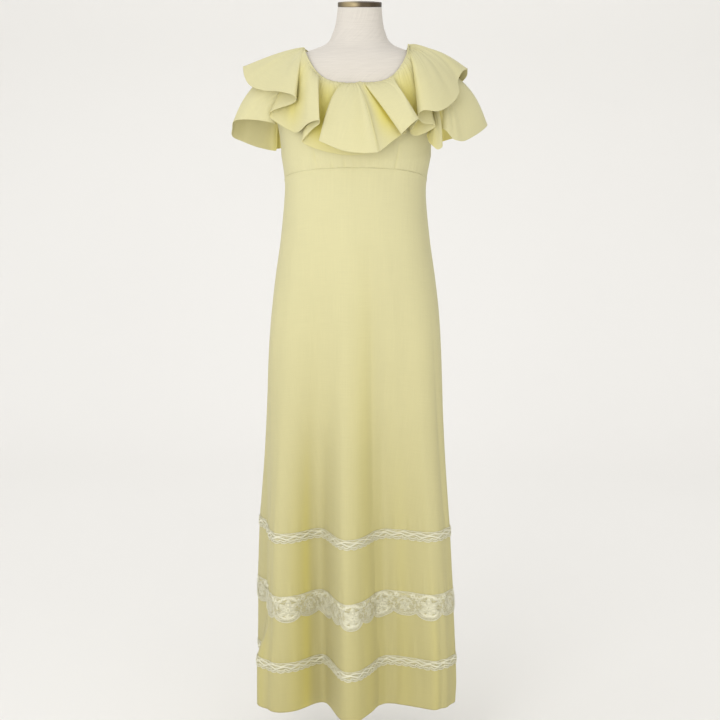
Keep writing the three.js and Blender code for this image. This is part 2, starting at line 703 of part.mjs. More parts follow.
function standBase() {
  const profile = [
    [0, 0],
    [BASE.radius, 0],
    [BASE.radius, BASE.rim - 3],
    [BASE.radius - 3, BASE.rim],
    [BASE.radius * 0.55, BASE.rim + 7],
    [POLE.foot + 8, BASE.height],
    [0, BASE.height],
  ];
  return turned(profile, 48);
}

// ---- materials and assembly ----
const finish = (color, roughness, metalness = 0) =>
  new THREE.MeshStandardMaterial({ color, roughness, metalness });
const cotton = () => finish('#dcd6a8', 0.82);
const lace = () => finish('#cac194', 0.88);
const linen = () => finish('#e3dcd2', 0.9);
const brass = () => finish('#b3a07a', 0.42, 0.85);
const enamel = () => finish('#d8d2c6', 0.5, 0.1);

const dress = new THREE.Group();
function place(name, geometry, material, parent = dress) {
  const mesh = new THREE.Mesh(geometry, material);
  mesh.name = name;
  parent.add(mesh);
}

const garment = new THREE.Group();
const stand = new THREE.Group();
dress.add(garment, stand);

place('bodice_front', bodiceHalf(true), cotton(), garment);
place('bodice_back', bodiceHalf(false), cotton(), garment);
place('skirt_front', clothWall(skirtGrid(true)), cotton(), garment);
place('skirt_back', clothWall(skirtGrid(false)), cotton(), garment);
place('flounce_front', flounceHalf(FLOUNCE_FRONT, 96), cotton(), garment);
place('flounce_back', flounceHalf(FLOUNCE_BACK, 48), cotton(), garment);
place('sleeve_left', sleeve(SLEEVE_LEFT, -1, 22), cotton(), garment);
place('sleeve_right', sleeve(SLEEVE_RIGHT, 1, 28), cotton(), garment);
for (const band of LACE_BANDS) {
  place(`${band.name}_front`, laceBand(true, band), lace(), garment);
  place(`${band.name}_back`, laceBand(false, band), lace(), garment);
}
place('form_torso', formTorso(), linen(), stand);
place('form_neck_cap', neckCap(), brass(), stand);
place('stand_pole', standPole(), enamel(), stand);
place('stand_base', standBase(), enamel(), stand);

export default dress;
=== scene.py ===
"""Long yellow summer dress on a limbless dress form: neck flounce, flutter sleeves, lace bands.

Lengths in the tables are millimetres and angles are degrees round the body, 0 at the centre front
and + towards the right of someone who faces the dress. Meshes are written in metres.
"""
import math

import bmesh
import bpy
import numpy as np
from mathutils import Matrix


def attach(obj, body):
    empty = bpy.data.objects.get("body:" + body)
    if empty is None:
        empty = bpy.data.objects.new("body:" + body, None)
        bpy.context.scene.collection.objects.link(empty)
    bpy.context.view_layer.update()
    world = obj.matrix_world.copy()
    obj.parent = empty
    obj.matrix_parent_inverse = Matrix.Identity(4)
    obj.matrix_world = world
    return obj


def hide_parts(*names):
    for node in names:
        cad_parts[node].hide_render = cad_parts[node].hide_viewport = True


bl_info = {
    "name": "Flounced Maxi Dress",
    "version": (1, 0, 0),
    "blender": (4, 5, 0),
    "location": "3D View > Sidebar > Dress",
    "description": "Makes a long dress with a neck flounce and lace bands on a dress form",
    "category": "Add Mesh",
}

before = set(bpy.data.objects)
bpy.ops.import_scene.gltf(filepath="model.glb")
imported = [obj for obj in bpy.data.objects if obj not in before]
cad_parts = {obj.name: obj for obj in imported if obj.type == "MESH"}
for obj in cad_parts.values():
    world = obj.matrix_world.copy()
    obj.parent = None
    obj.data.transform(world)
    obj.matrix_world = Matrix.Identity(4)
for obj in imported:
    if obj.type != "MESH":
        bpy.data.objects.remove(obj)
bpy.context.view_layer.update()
MM = 0.001


# ---------------------------------------------------------------- tables of the cut
def rows(names, *values):
    """A table with named columns, one tuple of numbers for each row."""
    return dict(zip(names.split(), np.array(values, float).T))


ROUNDNESS = 2.3  # power of the superellipse that every level section follows
FORM_GAP = 1.3  # from the form's cover to the cloth that lies on it
FORM_LIFT = FORM_GAP * 1.6  # how much higher the cloth lies than the section of the form it follows
HEM_Z = 138
SEAM_SIDE_Z = 1278  # empire seam at the side seams
SEAM_FRONT_RISE = 36
SEAM_BACK_RISE = 14
SEAM_GAP = 0.3  # from the bodice's lower edge down to the skirt's upper edge, before the lap
SEAM_LAP = 1.2  # how far the skirt's top edge laps up over the bodice
SEAM_RISE = 0.8  # how far it stands out over the bodice there
BODICE_TOP_Z = 1562
HEM_SHADE_HEIGHTS = (0.14, 1.25)  # heights in metres between which the painted shade at the hem passes into the cotton's own colour
BLEND_TOP_Z = 1390  # between these heights the bodice passes over into the skirt's shape
BLEND_FOOT_Z = 1320
NECK = dict(centre_x=3, half=106, shoulder_z=1545, front_z=1480, back_z=1512, squareness=4)
SHOULDER_TURN = 300  # how sharply the neckline turns over the shoulder's ridge
SHOULDER_RIDGE = 5  # how much higher it lies right on that ridge
ARMHOLE = dict(y=-2, z=1452, half_depth=60, half_height=58)

# level sections of the form: height, middle, half width, depth to the front and to the back
FORM_SECTIONS = rows(
    "z x half front back",
    (1052, 0, 144, 90, 98),
    (1090, 0, 140, 90, 96),
    (1140, 0, 130, 88, 90),
    (1190, 0, 122, 88, 84),
    (1240, 0, 128, 96, 84),
    (1290, 0, 140, 108, 86),
    (1320, 1, 149, 118, 88),
    (1350, 1, 152, 121, 91),
    (1390, 1, 158, 118, 94),
    (1420, 2, 168, 112, 96),
    (1450, 3, 178, 104, 96),
    (1480, 4, 180, 97, 93),
    (1498, 5, 176, 94, 90),
    (1510, 5, 166, 91, 87),
    (1521, 6, 150, 88, 82),
    (1532, 6, 130, 84, 76),
    (1541.5, 7, 110, 79, 70),
    (1548.5, 7, 92, 74, 66),
    (1554.5, 7.5, 76, 69, 62),
    (1561, 8, 66, 65, 59),
    (1568, 8, 60, 61, 56),
    (1577.5, 8, 56, 57, 53),
    (1592, 8.5, 51, 52, 50),
    (1610, 9, 47.5, 48, 48),
    (1633.5, 9.5, 45.2, 46, 46),
)

# how much further the bodice hangs clear of the form below the shoulders
EASE = rows(
    "z ease",
    (1250, 12), (1290, 6), (1320, 5), (1350, 4), (1390, 2.4), (1430, 1.4), (1470, 0.8), (1498, 0.6),
    (1520, 0),
)

# level sections of the skirt between its folds
SKIRT_SECTIONS = rows(
    "z x half front back",
    (138, 3, 207, 106, 121),
    (190, 4, 208, 106, 121),
    (356, 1, 204, 103, 120),
    (520, -2, 200, 99, 119),
    (681, -3, 193, 101, 118),
    (840, -2, 187, 105, 116),
    (919, -1, 183, 108, 114),
    (997, 0, 177, 111, 111),
    (1074, 0, 168, 113, 107),
    (1150, 0, 157, 115, 102),
    (1240, 0, 148, 116, 97),
    (1278, 1, 148, 117, 96),
    (1330, 2, 156, 126, 97),
)

# how far the skirt's folds have grown at each height, 1 at the hem
FOLD_GROWTH = rows(
    "z share",
    (138, 1), (250, 0.97), (397, 0.92), (537, 0.8), (681, 0.56), (840, 0.28), (997, 0.12),
    (1150, 0.05), (1290, 0),
)

# folds of the skirt: place, how far the crest stands out at the hem (a trough is negative), half width
SKIRT_FOLDS = rows(
    "at out width",
    (-68, 26, 12), (-47, 35, 14), (-21.5, -52, 10.5), (-2.5, 62, 8), (17, -44, 10), (31, -22, 9),
    (54, 26, 14), (74, 15, 9), (103, 12, 10), (124, -34, 10), (143, 30, 9), (162, -38, 9),
    (181, 40, 10), (203, -40, 10), (224, 34, 10), (238, -18, 8), (253, 14, 9),
)

# soft creases of the skirt: place at the foot, how far it drifts by its top, depth (+ is a ridge),
# half width, and the heights between which it shows
SKIRT_CREASES = rows(
    "at drift depth width foot top",
    (-35, 1, 2.2, 3, 100, 820),
    (-28, 1, -2.3, 3, 100, 900),
    (-94, 4, -9, 6, 270, 1000),
    (-111, -4, 22, 7, 170, 900),
    (-71, 2, -31, 15, 235, 1000),
    (-7, 4, 2, 2.4, 150, 560),
    (3.5, -3, -3, 2.2, 150, 700),
    (11, -4, -4, 2.2, 120, 1240),
    (-56, 5, -2.6, 3, 130, 900),
    (24, 3, -2.5, 2.2, 140, 560),
    (40, -3, -2.2, 2.6, 150, 480),
    (48, -4, 2.0, 3, 300, 980),
    (47, 0, 2.5, 3, 120, 480),
    (53.5, 0, -4.5, 3.2, 120, 520),
    (66, -6, -2.0, 3.4, 500, 1180),
    (112, 3, -3.5, 2.5, 140, 820),
    (131, 4, -3, 2.2, 140, 640),
    (152, 2, -3.5, 2, 130, 900),
    (171, 2, -4, 1.9, 120, 700),
    (190, -2, -3, 2, 140, 1120),
    (212, -3, -4, 2, 130, 660),
    (233, -4, -3, 2.4, 140, 880),
    (252, -3, -3, 2.6, 150, 600),
)

# painted shade down the skirt's folds, a deeper yellow for light caught between them: place at the foot,
# drift by the top, half width, how strong the painted shade is, and the heights between which it shows
SKIRT_FOLD_SHADES = rows(
    "at drift width most foot top",
    (-30.5, 1.5, 2.2, 0.34, 100, 820),
    (-34, 1.5, 5, 0.20, 100, 820),
    (-64, 3, 4, 0.16, 100, 700),
    (5.5, -1, 5, 0.22, 100, 1240),
    (14, -1, 4, 0.10, 100, 900),
    (30, -2, 5, 0.10, 100, 800),
    (48.5, -1, 3, 0.12, 100, 520),
    (82, 0, 8, 0.2, 100, 1000),
    (122, 3, 5, 0.3, 100, 800),
    (160, 2, 5, 0.3, 100, 900),
    (203, -2, 5, 0.35, 100, 1000),
    (241, -3, 5, 0.25, 100, 700),
)

# the neck flounce, one row for each place on its hem: the angle round the neckline where the cloth
# above it is gathered, the hem's place, how far the middle bows away from the body, how far it
# sways sideways, and how strong the painted shade of the folded cloth is
FLOUNCE_FRONT = rows(
    "neck x y z bow sway deep",
    (-90, -233, 4, 1512, 6, 0, 0),
    (-89.2, -228, -27, 1493, 7, 0, 0),
    (-88.3, -215, -52, 1476, 8, 0, 0),
    (-87, -187, -74, 1467, 10, 0, 0),
    (-85.5, -154, -99, 1466, 12, 0, 0),
    (-84, -126, -122, 1460, 13, 0, 0),
    (-83.2, -119, -118, 1450, 12, 0, 0.35),
    (-82.8, -130, -104, 1441, 10, 0, 0.2),
    (-82.3, -153, -88, 1433, 8, 0, 0.15),
    (-81.5, -170, -80, 1426, 7, 0, 0.3),
    (-80, -176, -71, 1418, 7, 0, 0.3),
    (-77, -170, -66, 1408, 8, 0, 0.35),
    (-72, -152, -76, 1397, 10, 0, 0.5),
    (-66, -134, -95, 1388, 12, 0, 0.85),
    (-60, -116, -120, 1385, 14, 0, 0.5),
    (-53, -94, -148, 1405, 15, 0, 0.05),
    (-46.5, -74, -162, 1412, 15, 0, 0.05),
    (-44, -72, -157, 1405, 14, 0, 0.4),
    (-43, -86, -143, 1393, 12, 0, 0.35),
    (-42, -104, -133, 1373, 11, 0, 0.4),
    (-40.5, -106, -125, 1365, 10, 0, 0.7),
    (-36, -86, -124, 1355, 10, 0, 1.25),
    (-30, -50, -130, 1345, 11, 0, 1.25),
    (-24, -6, -134, 1340, 11, 0, 0.8),
    (-19, 40, -135, 1345, 11, 0, 0.3),
    (-17, 50, -139, 1350, 12, 0, 0.2),
    (-16, 36, -145, 1353, 13, 0, 0.2),
    (-15, -10, -148, 1354, 14, 0, 0.2),
    (-14, -54, -149, 1364, 15, 0, 0.2),
    (-12.5, -72, -154, 1371, 16, 0, 0.05),
    (-9, -62, -163, 1367, 17, 0, 0),
    (-5.5, -24, -172, 1352.5, 18, 0, 0),
    (-2.6, 14, -176, 1348, 18, 0, 0.06),
    (-0.8, 41, -176, 1349, 18, -3, 0),
    (0.2, 47.5, -173, 1350, 17, -4, 0.25),
    (1.6, 54, -166, 1354, 16, -5, 0.08),
    (7.5, 83, -147, 1375, 14, -14, 1.1),
    (9.6, 98, -136, 1384, 12, -16, 1.7),
    (10.4, 103, -141, 1385, 12, -16, 1.2),
    (12, 93, -155, 1384, 14, -16, 0.05),
    (20, 103, -163, 1395, 16, 0, 0),
    (32, 117, -162, 1408, 17, 0, 0),
    (43, 128, -150, 1414, 16, -16, 0),
    (47, 118, -134, 1400, 13, -16, 0.5),
    (50, 112, -121, 1384, 11, -8, 1),
    (58, 126, -112, 1378, 10, 0, 1),
    (67, 148, -105, 1386, 10, 0, 0.5),
    (73, 163, -103, 1396, 10, 0, 0.35),
    (75.5, 158, -112, 1401, 11, 0, 0.35),
    (77.5, 138, -123, 1404, 13, 0, 0.4),
    (79.5, 126, -133, 1418, 15, 0, 0.4),
    (82, 138, -145, 1431, 17, 0, 0.1),
    (84.5, 168, -141, 1429, 19, 0, 0),
    (86.5, 194, -114, 1441, 20, 0, 0),
    (88, 211, -82, 1461, 20, 0, 0),
    (89, 211, -50, 1486, 20, 0, 0),
    (89.5, 221, -26, 1503, 18, 0, 0.08),
    (90, 233, 2, 1508, 16, 0, 0.08),
)

FLOUNCE_BACK = rows(
    "neck x y z bow sway deep",
    (90, 233, 2, 1508, 16, 0, 0.08),
    (92, 232, 28, 1490, 18, 0, 0),
    (95, 214, 62, 1470, 17, 0, 0),
    (99, 186, 92, 1456, 17, 0, 0),
    (103.5, 172, 112, 1440, 17, 0, 0),
    (105.5, 158, 106, 1428, 15, 0, 0.5),
    (107.5, 160, 92, 1418, 13, 0, 0.7),
    (112, 142, 94, 1406, 14, 0, 0.4),
    (120, 116, 112, 1400, 17, 0, 0),
    (128, 94, 138, 1402, 19, 0, 0),
    (134, 72, 140, 1398, 18, 0, 0),
    (136.5, 62, 122, 1390, 15, 0, 0.6),
    (139, 68, 108, 1382, 13, 0, 0.7),
    (147, 46, 108, 1376, 14, 0, 0.3),
    (157, 22, 124, 1374, 17, 0, 0),
    (166, 6, 146, 1378, 19, 0, 0),
    (175, -20, 150, 1376, 19, 0, 0),
    (182, -42, 134, 1372, 16, 0, 0.4),
    (185, -40, 114, 1368, 13, 0, 0.7),
    (192, -60, 107, 1372, 14, 0, 0.3),
    (203, -84, 118, 1378, 17, 0, 0),
    (213, -104, 138, 1390, 19, 0, 0),
    (221, -124, 134, 1398, 18, 0, 0),
    (225, -128, 114, 1400, 14, 0, 0.6),
    (229, -126, 96, 1404, 12, 0, 0.7),
    (238, -148, 90, 1414, 13, 0, 0.2),
    (247, -172, 98, 1430, 15, 0, 0),
    (256, -194, 92, 1448, 14, 0, 0),
    (263, -216, 66, 1470, 11, 0, 0),
    (267, -230, 34, 1496, 7, 0, 0),
    (270, -233, 4, 1512, 6, 0, 0),
)

# the flutter sleeves, one row for each place on the hem: arm is the angle round the armhole from
# its top (front is +), and the last column is how strong the painted shade of the folded cloth is
SLEEVE_LEFT = rows(
    "arm x y z deep",
    (112, -164, -56, 1398, 0),
    (96, -178, -66, 1403, 0),
    (76, -205, -64, 1407, 0),
    (56, -232, -56, 1407, 0),
    (36, -251, -34, 1402, 0),
    (14, -256, -6, 1384, 0),
    (-8, -257.5, 26, 1366, 0),
    (-28, -240, 50, 1355, 0),
    (-48, -212, 70, 1342, 0),
    (-66, -184, 82, 1334, 0.15),
    (-84, -170, 74, 1333, 0.5),
    (-92, -167, 62, 1338, 0.6),
    (-98, -160, 72, 1338, 0.5),
    (-104, -151, 62, 1342, 0.5),
)
SLEEVE_RIGHT = rows(
    "arm x y z deep",
    (112, 146, -92, 1378, 0.6),
    (106, 150, -106, 1366, 0.45),
    (100, 158, -118, 1357, 0.3),
    (94, 168, -122, 1351, 0.1),
    (88, 177, -116, 1357, 0.15),
    (83, 172, -104, 1370, 0.7),
    (79, 170, -92, 1387, 0.7),
    (75, 177, -90, 1391, 0.2),
    (71, 186, -98, 1386, 0),
    (66, 197, -100, 1373, 0),
    (60, 209, -95, 1367, 0),
    (50, 226, -80, 1366, 0),
    (32, 256, -48, 1380, 0),
    (14, 274, -14, 1392, 0),
    (-6, 272, 22, 1390, 0),
    (-28, 250, 54, 1376, 0),
    (-50, 218, 78, 1362, 0.35),
    (-70, 188, 90, 1352, 0.6),
    (-86, 174, 80, 1348, 0.7),
    (-100, 172, 60, 1356, 0.7),
)
SLEEVE_SPRING = {-1: 15, 1: 18}  # how far the left and the right sleeve bow out
SLEEVE_STAND = 3.6  # how far a sleeve's sewn edge stands out from the form
FLOUNCE_LIFT = 3.4  # how far the flounce's sewn edge stands out from the form
HEADING = 4.2  # height of the narrow heading above that edge
HEADING_SHARE = 0.05  # what the heading takes of the flounce's rows

# the lace: the line of its top, its depth, the length of a repeat, where one repeat has its middle,
# how far its scallops dip, and how far the smaller ones do as a share of that
LACE_BANDS = (
    dict(name="lace_upper", wide=False, top=536, depth=22, pitch=34, lobe=0, dip=4.2, minor=0.9),
    dict(name="lace_middle", wide=True, top=398, depth=58, pitch=111, lobe=-1, dip=14, minor=0.66),
    dict(name="lace_lower", wide=False, top=250, depth=22, pitch=34, lobe=5, dip=4.2, minor=0.9),
)
LACE_OUT = 1.3  # how far the lace's threads lie out from the skirt
BROAD_SCALLOP = 0.53  # the broad scallop's share of a repeat

# how finely the pieces are meshed: columns across, and for the rows where they start and then the
# end and the count of each evenly spaced stretch
BODICE_COLUMNS, BODICE_ROWS = 200, (0, (0.03, 5), (0.72, 44), (1, 50))
SKIRT_COLUMNS, SKIRT_ROWS = 212, (0, (0.01, 6), (0.985, 110), (1, 6))
FLOUNCE_ROWS = (-HEADING_SHARE, (0, 4), (0.9, 26), (1, 10))
SLEEVE_COLUMNS, SLEEVE_ROWS = 230, (0, (0.93, 40), (1, 10))
FORM_COLUMNS, FORM_ROWS = 108, (1052, (1480, 50), (1633.5, 60))
LACE_COLUMNS = 420

CAP = dict(x=9.5, radius=45.3, rim=10, dome=2.4, foot=1633.8)
POLE = dict(radius=14, foot=26, socket=20, socket_height=34, top=1051.7)
BASE = dict(radius=152, rim=10, height=26)


# ---------------------------------------------------------------- curves and surfaces
def along(table, key, at, column):
    """A table's column where its key column has the given values.

    Between two rows it is the cubic that leaves and arrives with the slopes between the rows on
    either side: a(1-s) + bs with s = t*t*(3-2t), plus t(1-t)^2 and t^2(1-t) times those slopes.
    """
    keys, values = table[key], table[column]
    if keys[-1] < keys[0]:
        keys, values = keys[::-1], values[::-1]
    at = np.clip(at, keys[0], keys[-1])
    i = np.clip(np.searchsorted(keys, at, side="right") - 1, 0, len(keys) - 2)
    before, after = np.maximum(i - 1, 0), np.minimum(i + 2, len(keys) - 1)
    span = keys[i + 1] - keys[i]
    t = (at - keys[i]) / span
    leaving = (values[i + 1] - values[before]) / (keys[i + 1] - keys[before]) * span
    arriving = (values[after] - values[i]) / (keys[after] - keys[i]) * span
    middle = values[i] + (values[i + 1] - values[i]) * t * t * (3 - 2 * t)
    return middle + t * (1 - t) ** 2 * leaving - t * t * (1 - t) * arriving


def spread(table, count):
    """Evenly spaced steps from a table's first row to its last, and every column at those steps."""
    last = len(next(iter(table.values()))) - 1
    step = np.linspace(0, last, count)
    numbered = dict(table, step=np.arange(last + 1.0))
    return [step] + [along(numbered, "step", step, column) for column in table]


def stretches(start, *parts):
    """A grid's rows: from the start to the end of each part, evenly spaced within the part."""
    made = [[start]]
    for end, count in parts:
        made.append(np.linspace(made[-1][-1], end, count)[1:])
    return np.concatenate(made)[:, None]


def smoothstep(low, high, at):
    """0 below low, 1 above high, and 3t^2 - 2t^3 between."""
    t = np.clip((at - low) / (high - low), 0, 1)
    return t * t * (3 - 2 * t)


def signed_power(value, power):
    return np.sign(value) * np.abs(value) ** power


def bump(distance, width):
    """A bell: 1 at no distance, 1/e at the width."""
    return np.exp(-((distance / width) ** 2))


def turn_between(angle, other):
    """The turn from one angle to another, from -180 to 180."""
    return (angle - other + 540) % 360 - 180


def section_at(table, z):
    return {column: along(table, "z", z, column) for column in ("x", "half", "front", "back")}


def section_point(section, angle, z):
    """A point of a superellipse section: x = half * sin^p and y = -depth * cos^p, p = 2 / roundness."""
    side, face = np.sin(np.radians(angle)), np.cos(np.radians(angle))
    depth = np.where(face > 0, section["front"], section["back"])
    x = section["x"] + section["half"] * signed_power(side, 2 / ROUNDNESS)
    return np.stack([x, -depth * signed_power(face, 2 / ROUNDNESS), z + 0 * angle], -1)


def form_point(angle, z):
    return section_point(section_at(FORM_SECTIONS, z), angle, z)


def bodice_point(angle, z):
    """The form's sections raised a little and widened by the gap and the ease."""
    section = section_at(FORM_SECTIONS, z - FORM_LIFT)
    clear = FORM_GAP + np.where(z < EASE["z"][-1], along(EASE, "z", z, "ease"), 0)
    for column in ("half", "front", "back"):
        section[column] = section[column] + clear
    return section_point(section, angle, z)


def level_outward(point, section):
    """The level direction that points away from a superellipse section."""
    depth = np.where(point[..., 1] < 0, section["front"], section["back"])
    outward = np.stack([(point[..., 0] - section["x"]) / section["half"] ** 2,
                        point[..., 1] / depth ** 2, 0 * depth], -1)
    return outward / np.linalg.norm(outward, axis=-1, keepdims=True)


def skirt_point(angle, z):
    """The skirt's section at that height, moved out by a bell for each fold and each crease."""
    section = section_at(SKIRT_SECTIONS, z)
    point = section_point(section, angle, z)
    grown = along(FOLD_GROWTH, "z", z, "share")
    out = 0 * angle
    for at, height, width in zip(*SKIRT_FOLDS.values()):
        out = out + height * bump(turn_between(angle, at), width) * grown
    for at, drift, depth, width, foot, top in zip(*SKIRT_CREASES.values()):
        rise = (z - foot) / (top - foot)
        shown = smoothstep(0, 0.12, rise) * (1 - smoothstep(0.25, 1, rise))
        shown = np.where(foot <= HEM_Z + 20, 1 - smoothstep(0.25, 1, rise), shown)
        out = out + depth * bump(turn_between(angle, at + drift * rise), width) * shown
    return point + level_outward(point, section) * out[..., None]


def skirt_fold_shade(angle, z):
    """How strong the painted fold shade is on the skirt, 0 to 1: a bell for each band, dying out near its
    top.
    """
    share = 0 * angle
    for at, drift, width, most, foot, top in zip(*SKIRT_FOLD_SHADES.values()):
        rise = (z - foot) / (top - foot)
        shown = 1 - smoothstep(0.45, 1, rise)
        share = share + most * bump(turn_between(angle, at + drift * rise), width) * shown
    return np.clip(share, 0, 1)


def body_point(angle, z):
    share = smoothstep(BLEND_FOOT_Z, BLEND_TOP_Z, z)[..., None]
    return skirt_point(angle, z) * (1 - share) + bodice_point(angle, z) * share


def seam_z(angle):
    """Height of the empire seam: it arches up to the centre front and the centre back."""
    face = np.cos(np.radians(angle))
    return SEAM_SIDE_Z + np.where(face > 0, SEAM_FRONT_RISE, SEAM_BACK_RISE) * np.abs(face)


def scoop_z(x, front):
    """Height of the neckline's square scoop over a place across the body."""
    low = np.where(front, NECK["front_z"], NECK["back_z"])
    side = np.clip(np.abs(x - NECK["centre_x"]) / NECK["half"], 0, 1)
    return low + (NECK["shoulder_z"] - low) * side ** NECK["squareness"]


def neck_point(angle):
    """The sewn edge of the neckline: x from the angle, height from the scoop, depth from the body."""
    side, face = np.sin(np.radians(angle)), np.cos(np.radians(angle))
    x = NECK["centre_x"] + NECK["half"] * side
    z = scoop_z(x, face >= 0)
    section = section_at(FORM_SECTIONS, z - FORM_LIFT)
    reach = np.clip(np.abs(x - section["x"]) / (section["half"] + FORM_GAP), 0, 1)
    depth = np.where(face >= 0, section["front"], section["back"]) + FORM_GAP
    clear = np.sqrt(np.clip(1 - np.abs(side) ** SHOULDER_TURN, 0, 1))
    y = depth * (1 - reach ** ROUNDNESS) ** (1 / ROUNDNESS) * clear
    return np.stack([x, np.where(face >= 0, -y, y), z + SHOULDER_RIDGE * (1 - clear)], -1)


def uneven(at, seed, scale):
    """A smooth uneven line between -1 and 1: the mean of four sines with unlike lengths and phases."""
    phases = np.random.default_rng(seed).uniform(0, 2 * math.pi, 4)
    lengths = scale * np.array([1, 0.618, 1.732, 0.39])
    return sum(np.sin(2 * math.pi * at / length + phase)
               for length, phase in zip(lengths, phases)) / 4


# ---------------------------------------------------------------- meshes
def grid_normals(grid):
    """Unit normals of a grid of points, across the two directions of the grid."""
    normal = np.cross(np.gradient(grid, axis=0), np.gradient(grid, axis=1))
    return normal / np.maximum(np.linalg.norm(normal, axis=-1, keepdims=True), 1e-9)


def distance_along(line):
    """How far along a line of points each of them lies from the first."""
    return np.concatenate([[0], np.cumsum(np.linalg.norm(np.diff(line, axis=0), axis=-1))])


def lengths_along(grid, axis):
    """How far along the cloth each point lies from the grid's first row or column."""
    steps = np.linalg.norm(np.diff(grid, axis=axis), axis=-1)
    padding = [(0, 0), (0, 0)]
    padding[axis] = (1, 0)
    return np.pad(np.cumsum(steps, axis=axis), padding)


def grid_quads(count, across, around=False):
    """Corner indices of the quads of a grid, closed on itself across if it goes all round."""
    index = np.arange(count * across).reshape(count, across)
    if around:
        index = np.concatenate([index, index[:, :1]], axis=1)
    return np.stack([index[:-1, :-1], index[1:, :-1], index[1:, 1:], index[:-1, 1:]], -1).reshape(-1, 4)


def repeated(faces, copies, points):
    """The same faces for each copy of a shape that has that many points."""
    return (faces[None] + np.arange(copies)[:, None, None] * points).reshape(-1, faces.shape[1])


def build_mesh(name, points, faces, uv, material, fold=None):
    """Writes whole arrays into a new mesh: points in millimetres, faces with equal corner counts."""
    used, flat_faces = np.unique(faces.ravel(), return_inverse=True)
    corners = faces.shape[1]
    mesh = bpy.data.meshes.new(name)
    mesh.vertices.add(len(used))
    mesh.vertices.foreach_set("co", (points.reshape(-1, 3)[used] * MM).astype(np.float32).ravel())
    mesh.loops.add(len(flat_faces))
    mesh.loops.foreach_set("vertex_index", flat_faces.astype(np.int32))
    mesh.polygons.add(len(faces))
    mesh.polygons.foreach_set("loop_start", np.arange(0, len(flat_faces), corners, dtype=np.int32))
    mesh.polygons.foreach_set("use_smooth", np.ones(len(faces), bool))
    mesh.update(calc_edges=True)
    layer = mesh.uv_layers.new(name="Cloth")
    layer.data.foreach_set("uv", (uv.reshape(-1, 2)[faces.ravel()] * MM).astype(np.float32).ravel())
    # the fold attribute carries the painted fold shade that the cotton reads
    if fold is not None:
        depth = mesh.attributes.new("PaintedFoldShade", "FLOAT", "POINT")
        depth.data.foreach_set("value", fold.reshape(-1)[used].astype(np.float32))
    mesh.validate()
    mesh.materials.append(material)
    piece = bpy.data.objects.new(name, mesh)
    bpy.context.collection.objects.link(piece)
    return piece


def grid_uv(grid):
    """The cloth's own coordinates: how far across and how far down, in millimetres."""
    across = lengths_along(grid, 1)
    middle = across[:, across.shape[1] // 2][:, None]
    return np.stack([across - middle, -lengths_along(grid, 0)], -1)


def trough_share(grid, outward, reach, depth):
    """How deep each point lies in a trough, 0 to 1.

    The grid is averaged along its rows over reach columns to each side. The point's distance behind
    that average, along the outward direction, is divided by the depth.
    """
    padded = np.pad(grid, ((0, 0), (reach + 1, reach), (0, 0)), mode="edge")
    total = np.cumsum(padded, axis=1)
    mean = (total[:, 2 * reach + 1:] - total[:, :-2 * reach - 1]) / (2 * reach + 1)
    return np.clip(((mean - grid) * outward).sum(-1) / depth, 0, 1)


def cloth_piece(name, grid, thickness, material, keep=None, uv=None, fold=None):
    """A sheet of cloth from a grid of points, given its thickness by a live Solidify."""
    quads = grid_quads(*grid.shape[:2])
    if keep is not None:
        quads = quads[keep]
    piece = build_mesh(name, grid, quads, grid_uv(grid) if uv is None else uv, material, fold)
    wall = piece.modifiers.new("Thickness", "SOLIDIFY")
    wall.thickness = thickness * MM
    wall.offset = 0
    return piece


def finish_piece(piece, slot, *nodes):
    """Makes a piece ride with the dress and stand for its CAD nodes, which it hides; the slot is not
    used.
    """
    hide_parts(*nodes)
    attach(piece, "root")


def declare_sheet(grid):
    """Works out the cut's longest row and column as width and length, and the cloth's own area; it keeps
    none of them.
    """
    width = float(lengths_along(grid, 1)[:, -1].max()) * MM
    length = float(lengths_along(grid, 0)[-1].max()) * MM
    a, b, c, d = grid[:-1, :-1], grid[1:, :-1], grid[1:, 1:], grid[:-1, 1:]
    area = float(np.linalg.norm(np.cross(c - a, d - b), axis=-1).sum() / 2) * MM * MM
    area = max(min(area, width * length), 0.3 * width * length)


